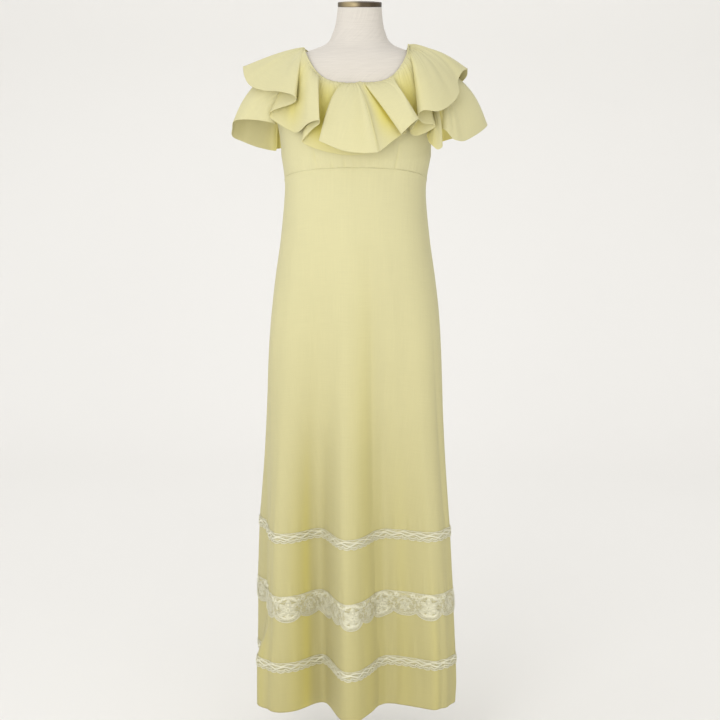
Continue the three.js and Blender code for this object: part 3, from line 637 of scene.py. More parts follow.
# ---------------------------------------------------------------- materials
class Shader:
    """A short way to write a node material: each method adds a node and returns its output."""

    def __init__(self, name):
        self.material = bpy.data.materials.new(name)
        self.material.use_nodes = True
        self.tree = self.material.node_tree
        self.tree.nodes.clear()
        self.output = self.tree.nodes.new("ShaderNodeOutputMaterial")

    def node(self, kind, inputs=(), **settings):
        node = self.tree.nodes.new("ShaderNode" + kind)
        for key, value in settings.items():
            setattr(node, key, value)
        for key, value in dict(inputs).items():
            socket = node.inputs[key]
            if isinstance(value, bpy.types.NodeSocket):
                self.tree.links.new(value, socket)
            else:
                socket.default_value = value
        return node

    def uv(self, scale=(1, 1)):
        """The piece's own coordinates in metres, times a scale for each direction."""
        place = self.node("UVMap", uv_map="Cloth").outputs[0]
        return self.node("Mapping", {"Vector": place, "Scale": (*scale, 1)}).outputs[0]

    def object_place(self, scale=(1, 1, 1)):
        place = self.node("TexCoord").outputs["Object"]
        return self.node("Mapping", {"Vector": place, "Scale": scale}).outputs[0]

    def object_axis(self, axis):
        return self.node("SeparateXYZ", {"Vector": self.object_place()}).outputs[axis]

    def noise(self, place, scale, detail=3, roughness=0.55):
        return self.node("TexNoise", {"Vector": place, "Scale": scale, "Detail": detail,
                                      "Roughness": roughness}).outputs["Fac"]

    def wave(self, place, scale, direction, distortion=0):
        return self.node("TexWave", {"Vector": place, "Scale": scale, "Distortion": distortion},
                         wave_type="BANDS", bands_direction=direction).outputs["Fac"]

    def math(self, operation, a, b=0.0):
        return self.node("Math", {0: a, 1: b}, operation=operation).outputs[0]

    def crossed(self, across, down):
        """The mean of two noises, each stretched along one direction of the cloth."""
        halves = [self.math("MULTIPLY", self.noise(self.uv(scale), 1, 3), 0.5)
                  for scale in (across, down)]
        return self.math("ADD", *halves)

    def ramp(self, value, *stops):
        node = self.node("ValToRGB", {"Fac": value})
        elements = node.color_ramp.elements
        while len(elements) < len(stops):
            elements.new(0.5)
        for element, (place, color) in zip(elements, stops):
            element.position = place
            element.color = (*color, 1)
        return node.outputs["Color"]

    def mix(self, share, a, b):
        node = self.node("Mix", data_type="RGBA")
        for socket, value in ((node.inputs[0], share), (node.inputs[6], a), (node.inputs[7], b)):
            if isinstance(value, bpy.types.NodeSocket):
                self.tree.links.new(value, socket)
            else:
                socket.default_value = value if socket.type == "VALUE" else (*value, 1)
        return node.outputs[2]

    def mixed(self, share, first, second):
        """A share of the second shader and the rest of the first."""
        return self.node("MixShader", {0: share, 1: first, 2: second}).outputs[0]

    def bumped(self, height, strength, distance):
        return self.node("Bump", {"Height": height, "Strength": strength,
                                  "Distance": distance}).outputs["Normal"]

    def surface(self, shader):
        self.tree.links.new(shader, self.output.inputs["Surface"])
        return self.material


def shade(color, share):
    return tuple(min(part * share, 1) for part in color)


def cotton_material(cloth):
    """Plain-woven cotton: fine weave, slubs both ways, light through it, a soft sheen.

    Painted shade: its colour is darker towards the hem, where less light falls, and deeper yellow where
    the fold attribute says so, for light caught between folds.
    """
    s = Shader("pale_yellow_cotton")
    warp = s.wave(s.uv(), cloth.threads_per_metre / 2, "X", 0.6)
    weft = s.wave(s.uv(), cloth.threads_per_metre / 2, "Y", 0.6)
    weave = s.math("MAXIMUM", warp, weft)
    streaks = s.crossed((22, 900), (800, 12))
    cloudy = s.noise(s.object_place(), 6, 2)
    tone = s.math("ADD", s.math("MULTIPLY", streaks, 0.75), s.math("MULTIPLY", cloudy, 0.25))
    # painted shade: low is the darker colour painted towards the hem, for the light that falls off
    # downwards
    light, low = (s.ramp(tone, (0.35, shade(color, 0.95)), (0.65, shade(color, 1.04)))
                  for color in (cloth.cotton_color, cloth.hem_shade_color))
    # painted shade: the cotton and its glow pass to darker colours towards the hem
    up = s.node("MapRange", {"Value": s.object_axis("Z"), "From Min": HEM_SHADE_HEIGHTS[0],
                             "From Max": HEM_SHADE_HEIGHTS[1]}).outputs[0]
    # painted shade: the fold attribute mixes in the deeper yellow of light caught between folded cloth
    fold = s.node("Attribute", attribute_name="PaintedFoldShade").outputs["Fac"]
    color = s.mix(fold, s.mix(up, low, light), cloth.fold_shade_color)
    glow = s.mix(fold, s.mix(up, shade(cloth.glow_color, 0.94), cloth.glow_color), cloth.fold_shade_color)
    relief = s.math("ADD", s.math("MULTIPLY", weave, 0.4), streaks)
    normal = s.bumped(relief, 0.25, 0.0004)
    shader = s.node("BsdfPrincipled", {
        "Base Color": color, "Roughness": 0.78, "Normal": normal,
        "Sheen Weight": 0.12, "Sheen Roughness": 0.45, "Specular IOR Level": 0.25,
    }).outputs[0]
    through = s.node("BsdfTranslucent", {"Color": glow, "Normal": normal}).outputs[0]
    return s.surface(s.mixed(cloth.light_through, shader, through))


def linen_material(cloth):
    """The form's tight linen cover: a visible plain weave in off-white with grey flecks."""
    s = Shader("form_linen")
    weave = s.math("MULTIPLY", *(s.wave(s.uv(), 420, way, 1.2) for way in "XY"))
    flecks = s.crossed((25, 520), (520, 25))
    color = s.ramp(flecks, (0.36, shade(cloth.linen_color, 0.90)), (0.60, cloth.linen_color))
    normal = s.bumped(s.math("ADD", weave, flecks), 0.18, 0.0003)
    return s.surface(s.node("BsdfPrincipled", {
        "Base Color": color, "Roughness": 0.85, "Normal": normal, "Sheen Weight": 0.1,
        "Specular IOR Level": 0.2,
    }).outputs[0])


def lace_net_material(cloth):
    """The net of the lace: threads round six-sided gaps, see-through between them."""
    s = Shader("lace_net")
    cells = s.node("TexVoronoi", {"Vector": s.uv(), "Scale": cloth.net_cells_per_metre,
                                  "Randomness": 0.35}, feature="DISTANCE_TO_EDGE").outputs["Distance"]
    thread = s.math("LESS_THAN", cells, 0.075)
    fibres = s.noise(s.uv(), 900, 2)
    color = s.ramp(fibres, (0.3, cloth.lace_color), (0.7, shade(cloth.lace_color, 1.12)))
    solid = s.node("BsdfPrincipled", {"Base Color": color, "Roughness": 0.9,
                                      "Specular IOR Level": 0.15}).outputs[0]
    through = s.node("BsdfTranslucent", {"Color": color}).outputs[0]
    clear = s.node("BsdfTransparent").outputs[0]
    return s.surface(s.mixed(thread, clear, s.mixed(0.2, solid, through)))


def lace_thread_material(cloth):
    """The worked parts of the lace: matt cotton thread laid in fine ribs."""
    s = Shader("lace_thread")
    ribs = s.wave(s.uv(), 550, "DIAGONAL", 2.5)
    fibres = s.noise(s.uv(), 700, 3)
    relief = s.math("ADD", ribs, fibres)
    color = s.ramp(s.math("MULTIPLY", relief, 0.5), (0.2, shade(cloth.lace_color, 0.86)),
                   (0.75, cloth.lace_color))
    normal = s.bumped(relief, 0.15, 0.0003)
    solid = s.node("BsdfPrincipled", {
        "Base Color": color, "Roughness": 0.88, "Normal": normal, "Specular IOR Level": 0.2,
        "Sheen Weight": 0.15,
    }).outputs[0]
    through = s.node("BsdfTranslucent", {"Color": color, "Normal": normal}).outputs[0]
    return s.surface(s.mixed(0.12, solid, through))


def brass_material():
    """Dull antique brass with fine scratches and darker clouds, and a painted highlight: a bright patch
    left of the cap's middle.
    """
    s = Shader("antique_brass")
    clouds = s.noise(s.object_place(), 45, 4)
    scratches = s.noise(s.object_place((30, 600, 30)), 1, 3)
    dull = s.ramp(clouds, (0.3, (0.06, 0.045, 0.03)), (0.7, (0.13, 0.10, 0.063)))
    # painted highlight: the brass is made bright round a spot left of the cap's middle, where the key
    # light shines on it
    from_painted_highlight = s.math("ABSOLUTE", s.math("ADD", s.object_axis("X"), 0.012))
    painted_highlight = s.node("MapRange", {"Value": from_painted_highlight, "From Max": 0.028, "To Min": 0.8,
                                 "To Max": 0}, interpolation_type="SMOOTHSTEP").outputs[0]
    color = s.mix(painted_highlight, dull, (0.42, 0.34, 0.19))
    rough = s.node("MapRange", {"Value": scratches, "To Min": 0.32, "To Max": 0.55}).outputs[0]
    normal = s.bumped(scratches, 0.1, 0.0004)
    return s.surface(s.node("BsdfPrincipled", {
        "Base Color": color, "Metallic": 0.9, "Roughness": rough, "Normal": normal,
    }).outputs[0])


def enamel_material():
    """Warm off-white enamel on steel with a slight orange peel and faint scuffs."""
    s = Shader("stand_enamel")
    peel = s.noise(s.object_place(), 260, 2)
    scuffs = s.noise(s.object_place(), 30, 5, 0.7)
    color = s.ramp(scuffs, (0.25, (0.56, 0.53, 0.47)), (0.5, (0.68, 0.65, 0.58)))
    rough = s.node("MapRange", {"Value": scuffs, "To Min": 0.38, "To Max": 0.6}).outputs[0]
    return s.surface(s.node("BsdfPrincipled", {
        "Base Color": color, "Roughness": rough, "Normal": s.bumped(peel, 0.08, 0.0005),
        "Coat Weight": 0.2,
    }).outputs[0])


def material_named(name, make, *settings):
    """The scene's material of that name, made on first use."""
    return bpy.data.materials.get(name) or make(*settings)


# ---------------------------------------------------------------- settings a user would change
class DressCloth(bpy.types.PropertyGroup):
    cotton_color: bpy.props.FloatVectorProperty(
        name="Cotton", description="Colour of the dress's cotton", subtype="COLOR",
        size=3, min=0, max=1, default=(0.71, 0.67, 0.394))
    # painted shade: the darker colour the skirt is painted towards the hem, for the light that falls off
    # there
    hem_shade_color: bpy.props.FloatVectorProperty(
        name="Painted shade at hem", description="Colour of the cotton at the skirt's hem",
        subtype="COLOR", size=3, min=0, max=1, default=(0.538, 0.487, 0.230))
    # painted shade: the deeper yellow painted into folds, for the light caught between folded cloth
    fold_shade_color: bpy.props.FloatVectorProperty(
        name="Painted shade in folds", description="Colour of the cotton at the bottom of a deep fold",
        subtype="COLOR", size=3, min=0, max=1, default=(0.78, 0.69, 0.145))
    glow_color: bpy.props.FloatVectorProperty(
        name="Glow", description="Colour of the light that has passed through the cotton",
        subtype="COLOR", size=3, min=0, max=1, default=(0.74, 0.67, 0.28))
    lace_color: bpy.props.FloatVectorProperty(
        name="Lace", description="Colour of the lace's thread", subtype="COLOR",
        size=3, min=0, max=1, default=(0.80, 0.775, 0.59))
    linen_color: bpy.props.FloatVectorProperty(
        name="Linen", description="Colour of the form's linen cover", subtype="COLOR",
        size=3, min=0, max=1, default=(0.63, 0.59, 0.535))
    light_through: bpy.props.FloatProperty(
        name="Light through", description="Share of the light that passes through the cotton",
        subtype="FACTOR", min=0, max=1, default=0.18)
    threads_per_metre: bpy.props.IntProperty(
        name="Threads", description="Threads in a metre of the cotton", min=200, max=6000, default=2400)
    net_cells_per_metre: bpy.props.IntProperty(
        name="Net cells", description="Gaps in a metre of the lace's net", min=100, max=1200, default=520)


class DressCut(bpy.types.PropertyGroup):
    cotton_thickness: bpy.props.FloatProperty(
        name="Cotton thickness", description="Thickness of the cotton in millimetres",
        min=0.2, max=2, default=0.7)
    gather_depth: bpy.props.FloatProperty(
        name="Gather depth", description="Height of the small gathers at the neckline, in millimetres",
        min=0, max=4, default=1.6)
    gather_pitch: bpy.props.FloatProperty(
        name="Gather pitch", description="Distance between the small gathers, in millimetres",
        min=3, max=20, default=8)
    hem_fold: bpy.props.FloatProperty(
        name="Hem fold", description="Depth of the narrow hems of flounce and sleeves, in millimetres",
        min=2, max=12, default=5)


class DressStage(bpy.types.PropertyGroup):
    camera_height: bpy.props.FloatProperty(
        name="Camera height", description="Height of the camera above the floor",
        unit="LENGTH", default=1.638)
    camera_distance: bpy.props.FloatProperty(
        name="Camera distance", description="How far the camera stands in front of the dress",
        unit="LENGTH", default=3.8)
    camera_pitch: bpy.props.FloatProperty(
        name="Camera pitch", description="How far the camera looks down", subtype="ANGLE",
        default=math.radians(11.095))
    key_power: bpy.props.FloatProperty(
        name="Key light", description="Power of the large soft light", unit="POWER", default=15)
    fill_power: bpy.props.FloatProperty(
        name="Fill light", description="Power of the light from the other side", unit="POWER", default=13)
    floor_power: bpy.props.FloatProperty(
        name="Floor light", description="Power of the wide light over the floor behind the dress",
        unit="POWER", default=20)
    sky_strength: bpy.props.FloatProperty(
        name="Surrounding light", description="Strength of the even light all round", default=1.23)


# ---------------------------------------------------------------- pieces
def half_name(stem, front):
    return stem + ("_front" if front else "_back")


def cotton_piece(scene, name, grid, keep=None, fold=None):
    """A sheet of the dress's cotton that stands for the CAD node of that name."""
    material = material_named("pale_yellow_cotton", cotton_material, scene.dress_cloth)
    piece = cloth_piece(name + "_cloth", grid, scene.dress_cut.cotton_thickness, material, keep,
                        fold=fold)
    finish_piece(piece, "cotton", name)
    declare_sheet(grid)


def half_angles(front, columns):
    """Angles across the front or the back, spaced so that the points lie evenly along the cloth."""
    t = np.linspace(-1, 1, columns)
    return (0 if front else 180) + 90 * signed_power(t, ROUNDNESS / 2)


def make_bodice(scene, front):
    """A grid over the body from the empire seam up, with the neckline and the armholes cut away.

    Points just inside a cut are moved onto its edge, and quads that lie inside it are left out.
    """
    angles = half_angles(front, BODICE_COLUMNS)
    low = seam_z(angles)[None]
    z = low + (BODICE_TOP_Z - low) * stretches(*BODICE_ROWS)
    angle = np.broadcast_to(angles, z.shape)
    grid = body_point(angle, z)
    beyond = grid[..., 2] - scoop_z(grid[..., 0], front)
    across = np.abs(grid[..., 0] - NECK["centre_x"]) < NECK["half"]
    in_neck = across & (beyond > 0)
    down = np.hypot((grid[..., 1] - ARMHOLE["y"]) / ARMHOLE["half_depth"],
                    (grid[..., 2] - ARMHOLE["z"]) / ARMHOLE["half_height"])
    in_arm = (down < 1) & (np.abs(grid[..., 0]) > 110)
    cut = in_neck | in_arm
    corners = cut[:-1, :-1].astype(int) + cut[1:, :-1] + cut[1:, 1:] + cut[:-1, 1:]
    keep = (corners < 4).ravel()
    grid[in_neck, 2] -= beyond[in_neck] * 0.9
    pull = np.where(in_arm, 1 / np.maximum(down, 0.5), 1)
    grid[..., 1] = ARMHOLE["y"] + (grid[..., 1] - ARMHOLE["y"]) * pull
    grid[..., 2] = ARMHOLE["z"] + (grid[..., 2] - ARMHOLE["z"]) * pull
    out = seam_puckers(angle, z)
    grid = grid[::-1] + grid_normals(grid[::-1]) * out[::-1, :, None]
    # painted shade: the bodice's troughs get the deeper yellow of light caught in them
    cotton_piece(scene, half_name("bodice", front), grid,
                 keep.reshape(len(z) - 1, -1)[::-1].ravel(),
                 0.6 * trough_share(grid, grid_normals(grid), 9, 5))


def seam_puckers(angle, z):
    """Small puckers on both sides of the empire seam, and the seam's own groove."""
    above = z - seam_z(angle)
    place = angle * 2.6
    gathered = 0.35 + 0.65 * bump(turn_between(angle, -14), 16)
    ripple = uneven(place, 5, 13) * 1.5 * bump(above - 5, 13) * gathered
    groove = -0.1 * bump(above, 1.5)
    darts = sum(bump(turn_between(angle, side * 28) - side * above * 0.06, 1.4) for side in (-1, 1))
    return ripple + groove - 1.5 * darts * bump(above - 26, 40)


def make_skirt(scene, front):
    """A grid from the empire seam to the hem, with puckers at the seam and above each lace band."""
    angles = half_angles(front, SKIRT_COLUMNS)
    top = seam_z(angles)[None] - SEAM_GAP
    z = top + (HEM_Z - top) * stretches(*SKIRT_ROWS)
    angle = np.broadcast_to(angles, z.shape)
    grid = body_point(angle, z)
    lapped = 1 - smoothstep(0, 7, top - z)
    grid[..., 2] += SEAM_LAP * lapped
    out = seam_puckers(angle, z) * (z > 1200) + SEAM_RISE * lapped
    for band in LACE_BANDS:
        above = z - band["top"]
        fade = smoothstep(-8, 2, above) * (1 - smoothstep(10, 46, above))
        out = out + uneven(angle * 3.4, band["top"], 17) * 1.3 * fade
    out = out + uneven(angle * 3 + z * 0.05, 3, 170) * 0.8
    grid = grid + grid_normals(grid) * out[..., None]
    # the skirt's fold attribute is painted shade in its folds
    cotton_piece(scene, half_name("skirt", front), grid,
                 fold=skirt_fold_shade(angle, z))


def narrow_hem(from_edge, fold, thickness):
    """How far the outer face stands out over a narrow folded hem, with its row of stitches."""
    step = thickness * 0.5 * (1 - smoothstep(fold - 0.5, fold + 0.5, from_edge))
    stitched = -0.35 * bump(from_edge - fold + 1.2, 0.5)
    return step + stitched


def make_flounce(scene, table, name, columns):
    """Straight lines from the gathered neckline to a waving hem, bowed away from the body.

    Each point is (1 - t) * neck + t * hem + bow * sin(pi * t^0.7) * away + sway * sin(pi * t^0.6)
    sideways, where away points level from the neck to the hem and up. Above the seam a narrow
    heading stands up along the form. Small gathers ripple the neckline and die out down the fall.
    The painted shade of the folded cloth is the table's last column times t^0.6, and most of it fades
    again towards the hem.
    """
    cut = scene.dress_cut
    step, neck_angle, x, y, z, bow, sway, painted_shade = spread(table, columns)
    hem = np.stack([x, y, z], -1)
    neck = neck_point(neck_angle)
    radians = np.radians(neck_angle)
    off = np.stack([np.sin(radians), -0.8 * np.cos(radians), 0.7 + 0 * radians], -1)
    off /= np.linalg.norm(off, axis=-1, keepdims=True)
    fall = hem - neck
    fall_length = np.linalg.norm(fall, axis=-1)
    level = fall * [1, 1, 0]
    away = level / np.linalg.norm(level, axis=-1, keepdims=True) + [0, 0, 0.7]
    away /= np.linalg.norm(away, axis=-1, keepdims=True)
    t = stretches(*FLOUNCE_ROWS)
    down = np.clip(t, 0, 1)
    grid = (neck + off * FLOUNCE_LIFT) * (1 - down[..., None]) + hem * down[..., None]
    grid = grid + away * (bow * np.sin(math.pi * down ** 0.7))[..., None]
    grid[..., 0] += sway * np.sin(math.pi * down ** 0.6)
    heading = np.clip(-t, 0, 1) / HEADING_SHARE
    along_neck = np.gradient(neck, axis=0)
    stand = np.cross(off, along_neck / np.linalg.norm(along_neck, axis=-1, keepdims=True))
    tucked = bump(turn_between(neck_angle, 84), 10)
    low_front = bump(turn_between(neck_angle, -8), 9)
    raised = bump(turn_between(neck_angle, 3.5), 2.2)
    stand_height = HEADING * (1 - 0.5 * np.abs(np.sin(radians)) ** 16 + 0.45 * tucked
                              - 0.45 * low_front + 0.6 * raised)
    round_neck = distance_along(neck)
    grid += (stand * stand_height[:, None] - off * 1.2) * heading[..., None]
    fullness = 1 + 0.8 * tucked + 0.5 * low_front
    gathers = uneven(round_neck, 11, cut.gather_pitch) * cut.gather_depth * fullness
    fade = np.exp(-down * fall_length / 26) * np.clip(1 - heading * 0.4, 0, 1)
    long_ripple = uneven(step, 23, 2.7) * 1.6 * np.sin(math.pi * down)
    bunched = bump(turn_between(neck_angle, 90), 6) * np.exp(-(down * fall_length / 20) ** 2)
    grid[..., 2] += bunched * (3.2 + 1.6 * np.sin(round_neck * 0.9))
    out = gathers * fade + long_ripple
    normals = grid_normals(grid)
    grid = grid + normals * out[..., None]
    hem_out = narrow_hem((1 - t) * fall_length, cut.hem_fold, cut.cotton_thickness)
    grid = grid + normals * hem_out[..., None]
    # painted shade: the folded cloth gets the deeper yellow of light caught between folds
    fading = 1 - 0.8 * smoothstep(0.58, 1, down)
    cotton_piece(scene, name, grid,
                 fold=np.clip(painted_shade * down ** 0.6 * fading, 0, 1))


def make_sleeve(scene, table, side, name):
    """Straight lines from the armhole's oval to the sleeve's hem, bowed out over the shoulder."""
    cut = scene.dress_cut
    step, arm, x, y, z, painted_shade = spread(table, SLEEVE_COLUMNS)
    hem = np.stack([x, y, z], -1)
    painted_shade = np.clip(painted_shade, 0, 1)
    arm = np.radians(arm)
    y = ARMHOLE["y"] - (ARMHOLE["half_depth"] + 1) * np.sin(arm)
    z = ARMHOLE["z"] + (ARMHOLE["half_height"] + 1) * np.cos(arm)
    section = section_at(FORM_SECTIONS, z - FORM_LIFT)
    depth = np.where(y < 0, section["front"], section["back"]) + FORM_GAP
    reach = np.clip(np.abs(y) / depth, 0, 1)
    x = section["x"] + side * (section["half"] + FORM_GAP) * (1 - reach ** ROUNDNESS) ** (1 / ROUNDNESS)
    start = np.stack([x + side * SLEEVE_STAND, y, z + SLEEVE_STAND * np.cos(arm) * 0.6], -1)
    t = stretches(*SLEEVE_ROWS)
    grid = start * (1 - t[..., None]) + hem * t[..., None]
    bow = SLEEVE_SPRING[side] * np.sin(math.pi * t) * np.maximum(np.cos(arm * 0.75), 0.2)
    grid = grid + bow[..., None] * np.array([side * 0.8, 0, 0.6])
    fall_length = np.linalg.norm(hem - start, axis=-1)
    normals = grid_normals(grid) * side
    gathers = uneven(arm * 60, 31 + side, 9) * 1.5 * np.exp(-t * fall_length / 30)
    ripple = uneven(step, 41 + side, 3.4) * 2.2 * np.sin(math.pi * t * 0.9)
    hem_out = narrow_hem((1 - t) * fall_length, cut.hem_fold, cut.cotton_thickness)
    grid = grid + normals * (gathers + ripple + hem_out)[..., None]
    if side < 0:
        grid, painted_shade = grid[:, ::-1], painted_shade[::-1]
    # painted shade: the sleeve's folds get the deeper yellow of light caught between them
    cotton_piece(scene, name, grid,
                 fold=painted_shade * t ** 0.6)


def make_form():
    """Rings of the form's sections, closed at the foot and at the top."""
    angles = np.linspace(-180, 180, FORM_COLUMNS + 1)[:-1]
    angle, z = np.meshgrid(angles, stretches(*FORM_ROWS))
    grid = form_point(angle, z)
    uv = np.stack([lengths_along(grid, 1), z], -1)
    foot = grid[0].mean(0) + 0 * grid[:1]
    top = grid[-1].mean(0) + 0 * grid[:1]
    full = np.concatenate([foot, foot * 0.1 + grid[:1] * 0.9, grid, grid[-1:] * 0.9 + top * 0.1, top])
    full_uv = np.concatenate([uv[:1], uv[:1], uv, uv[-1:], uv[-1:]])
    material = material_named("form_linen", linen_material, bpy.context.scene.dress_cloth)
    quads = grid_quads(*full.shape[:2], around=True)[:, ::-1]
    piece = build_mesh("form_linen_cover", full, quads, full_uv, material)
    close_poles(piece)
    finish_piece(piece, "linen", "form_torso")


def close_poles(piece):
    """Merges the points that lie on each other at the poles of a turned or stacked mesh."""
    mesh = bmesh.new()
    mesh.from_mesh(piece.data)
    bmesh.ops.remove_doubles(mesh, verts=mesh.verts, dist=1e-6)
    mesh.to_mesh(piece.data)
    mesh.free()


def turned_piece(name, profile, centre_x, material, columns=128):
    """A profile of radius and height carried round an upright axis, ends on the axis."""
    radius, height = np.array(profile, float).T
    turn = np.radians(np.linspace(0, 360, columns + 1)[:-1])
    grid = np.stack([centre_x + radius[:, None] * np.cos(turn), radius[:, None] * np.sin(turn),
                     height[:, None] + 0 * turn], -1)
    uv = np.stack([lengths_along(grid, 1), height[:, None] + 0 * turn], -1)
    quads = grid_quads(*grid.shape[:2], around=True)[:, ::-1]
    piece = build_mesh(name, grid, quads, uv, material)
    close_poles(piece)
    return piece


def rounded(points, radius, steps=6):
    """A profile with each inner corner replaced by a quarter of a circle's worth of points."""
    points = np.array(points, float)
    made = [points[0]]
    for before, corner, after in zip(points[:-2], points[1:-1], points[2:]):
        come, go = before - corner, after - corner
        reach = min(radius, np.linalg.norm(come) / 2.1, np.linalg.norm(go) / 2.1)
        start = corner + come / np.linalg.norm(come) * reach
        end = corner + go / np.linalg.norm(go) * reach
        t = np.linspace(0, 1, steps)[:, None]
        made.extend((1 - t) ** 2 * start + 2 * t * (1 - t) * corner + t ** 2 * end)
    made.append(points[-1])
    return made


def make_stand():
    """The neck cap, the pole and the base, each a rounded profile turned about an upright axis."""
    brass = material_named("antique_brass", brass_material)
    enamel = material_named("stand_enamel", enamel_material)
    r, foot = CAP["radius"], CAP["foot"]
    top = foot + CAP["rim"]
    cap = rounded([(0, foot), (r - 0.6, foot), (r, foot + 1), (r, top - 1.2), (r - 1.2, top),
                   (r * 0.6, top + CAP["dome"] * 0.7), (0, top + CAP["dome"])], 1.2)
    finish_piece(turned_piece("neck_cap_brass", cap, CAP["x"], brass), "brass", "form_neck_cap")
    low, high = BASE["height"] + 0.3, POLE["top"]
    shoulder = high - POLE["socket_height"]
    pole = rounded([(0, low), (POLE["foot"], low), (POLE["foot"], low + 8), (POLE["radius"], low + 22),
                    (POLE["radius"], shoulder), (POLE["socket"], shoulder), (POLE["socket"], high),
                    (0, high)], 2)
    finish_piece(turned_piece("pole_enamel", pole, 0, enamel, 64), "enamel", "stand_pole")
    rim = BASE["radius"]
    base = rounded([(0, 0), (rim, 0), (rim, BASE["rim"] - 3), (rim - 3, BASE["rim"]),
                    (rim * 0.55, BASE["rim"] + 7), (POLE["foot"] + 8, BASE["height"]),
                    (0, BASE["height"])], 2)
    finish_piece(turned_piece("base_enamel", base, 0, enamel), "enamel", "stand_base")


# ---------------------------------------------------------------- lace
class LaceStrip:
    """Places lace worked flat onto the skirt: u is millimetres round the skirt, v down the band."""

    def __init__(self, band):
        self.top = band["top"]
        self.angles = np.linspace(-90, 270, 1441)
        ring = skirt_point(self.angles, np.full(self.angles.shape, self.top - band["depth"] / 2.0))
        self.round = distance_along(ring)
        self.count = max(int(round(self.round[-1] / band["pitch"])), 1)
        self.pitch = self.round[-1] / self.count
        middle = np.interp(band["lobe"], self.angles, self.round)
        self.start = middle - BROAD_SCALLOP / 2 * self.pitch

    def angle(self, u):
        return np.interp((u + self.start) % self.round[-1], self.round, self.angles)

    def place(self, u, v, out):
        """The skirt's point at that place, moved along the skirt's own normal."""
        angle, z = self.angle(u), self.top - v
        here = skirt_point(angle, z)
        across = skirt_point(angle + 0.2, z) - skirt_point(angle - 0.2, z)
        down = skirt_point(angle, z - 1.5) - skirt_point(angle, z + 1.5)
        normal = np.cross(down, across)
        normal /= np.linalg.norm(normal, axis=-1, keepdims=True)
        return here + normal * np.asarray(out)[..., None]


def scallop_foot(u, pitch, band):
    """The lower edge: a broad scallop and a smaller one in each repeat, with tiny ones along them."""
    place = (u / pitch) % 1
    in_small = (place - BROAD_SCALLOP) / (1 - BROAD_SCALLOP)
    big = np.clip(np.sin(math.pi * np.clip(place / BROAD_SCALLOP, 0, 1)), 0, 1) ** 0.6
    small = np.clip(np.sin(math.pi * np.clip(in_small, 0, 1)), 0, 1) ** 0.6
    tiny = np.abs(np.sin(math.pi * place * round(pitch / 5.2))) * 1.1
    dip = band["dip"]
    return band["depth"] - dip + dip * np.maximum(big, small * band["minor"]) + tiny - 1


def tube_along(path_u, path_v, radius, height, sides=6):
    """A thread of round section along flat paths: rings of points square to each path.

    Takes arrays of shape (threads, points) and returns u, v, out and the quads of all the tubes.
    """
    du, dv = np.gradient(path_u, axis=1), np.gradient(path_v, axis=1)
    length = np.maximum(np.hypot(du, dv), 1e-6)
    turn = np.linspace(0, 2 * math.pi, sides + 1)[:-1]
    radius = np.broadcast_to(radius, path_u.shape)[..., None]
    u = path_u[..., None] - (dv / length)[..., None] * radius * np.cos(turn)
    v = path_v[..., None] + (du / length)[..., None] * radius * np.cos(turn)
    out = height + radius * (1 + np.sin(turn)) * 0.45 + 0 * u
    threads, points = path_u.shape
    quads = repeated(grid_quads(points, sides, around=True), threads, points * sides)
    return u.reshape(-1), v.reshape(-1), out.reshape(-1), quads


def petals(centre_u, centre_v, long, wide, lean, height, rise, rings=3, spokes=12):
    """Domed leaf shapes: for each, an ellipse with a pointed tip, highest along its middle."""
    r = np.linspace(0, 1, rings + 1)[1:, None]
    turn = np.linspace(0, 2 * math.pi, spokes + 1)[:-1][None]
    a = r * np.cos(turn)
    b = r * np.sin(turn) * (1 - 0.25 * np.cos(turn))
    dome = (1 - r ** 2) + 0 * turn
    lean = np.radians(np.asarray(lean, float))[:, None, None]
    long, wide, rise, height = (np.broadcast_to(np.asarray(x, float), centre_u.shape)[:, None, None]
                                for x in (long, wide, rise, height))
    u = centre_u[:, None, None] + long * a * np.cos(lean) - wide * b * np.sin(lean)
    v = centre_v[:, None, None] + long * a * np.sin(lean) + wide * b * np.cos(lean)
    out = height + rise * dome
    flat = [np.concatenate([value.reshape(len(centre_u), -1), middle], axis=1) for value, middle in (
        (u, centre_u[:, None]), (v, centre_v[:, None]), (out, (height + rise)[:, 0]))]
    points = rings * spokes + 1
    hub = np.arange(spokes)
    fan = np.stack([np.roll(hub, -1), hub, np.full(spokes, points - 1)], -1)
    quads = repeated(grid_quads(rings, spokes, around=True)[:, ::-1], len(centre_u), points)
    fans = repeated(fan, len(centre_u), points)
    return flat[0].reshape(-1), flat[1].reshape(-1), flat[2].reshape(-1), quads, fans


class LaceWork:
    """Collects the worked parts of a band as flat coordinates, then lays them on the skirt."""

    def __init__(self, strip):
        self.strip = strip
        self.parts = []

    def add(self, u, v, out, quads, fans=None):
        triangles = np.concatenate([quads[:, [0, 1, 2]], quads[:, [0, 2, 3]]])
        if fans is not None:
            triangles = np.concatenate([triangles, fans])
        self.parts.append((u, v, out, triangles))

    def repeat(self, offsets, maker, *settings):
        """Adds the same shapes once for each repeat of the band."""
        self.add(*maker(offsets, *settings))

    def piece(self, name, front, material):
        """The parts whose middles lie on the front or the back, as one mesh."""
        base, us, vs, outs, triangles = 0, [], [], [], []
        for u, v, out, faces in self.parts:
            us.append(u)
            vs.append(v)
            outs.append(out)
            triangles.append(faces + base)
            base += len(u)
        u, v, out = (np.concatenate(x) for x in (us, vs, outs))
        triangles = np.concatenate(triangles)
        face_angle = self.strip.angle(u[triangles].mean(axis=1))
        triangles = triangles[(face_angle < 90) == front]
        points = self.strip.place(u, v, out)
        return build_mesh(name, points, triangles, np.stack([u, -v], -1), material)


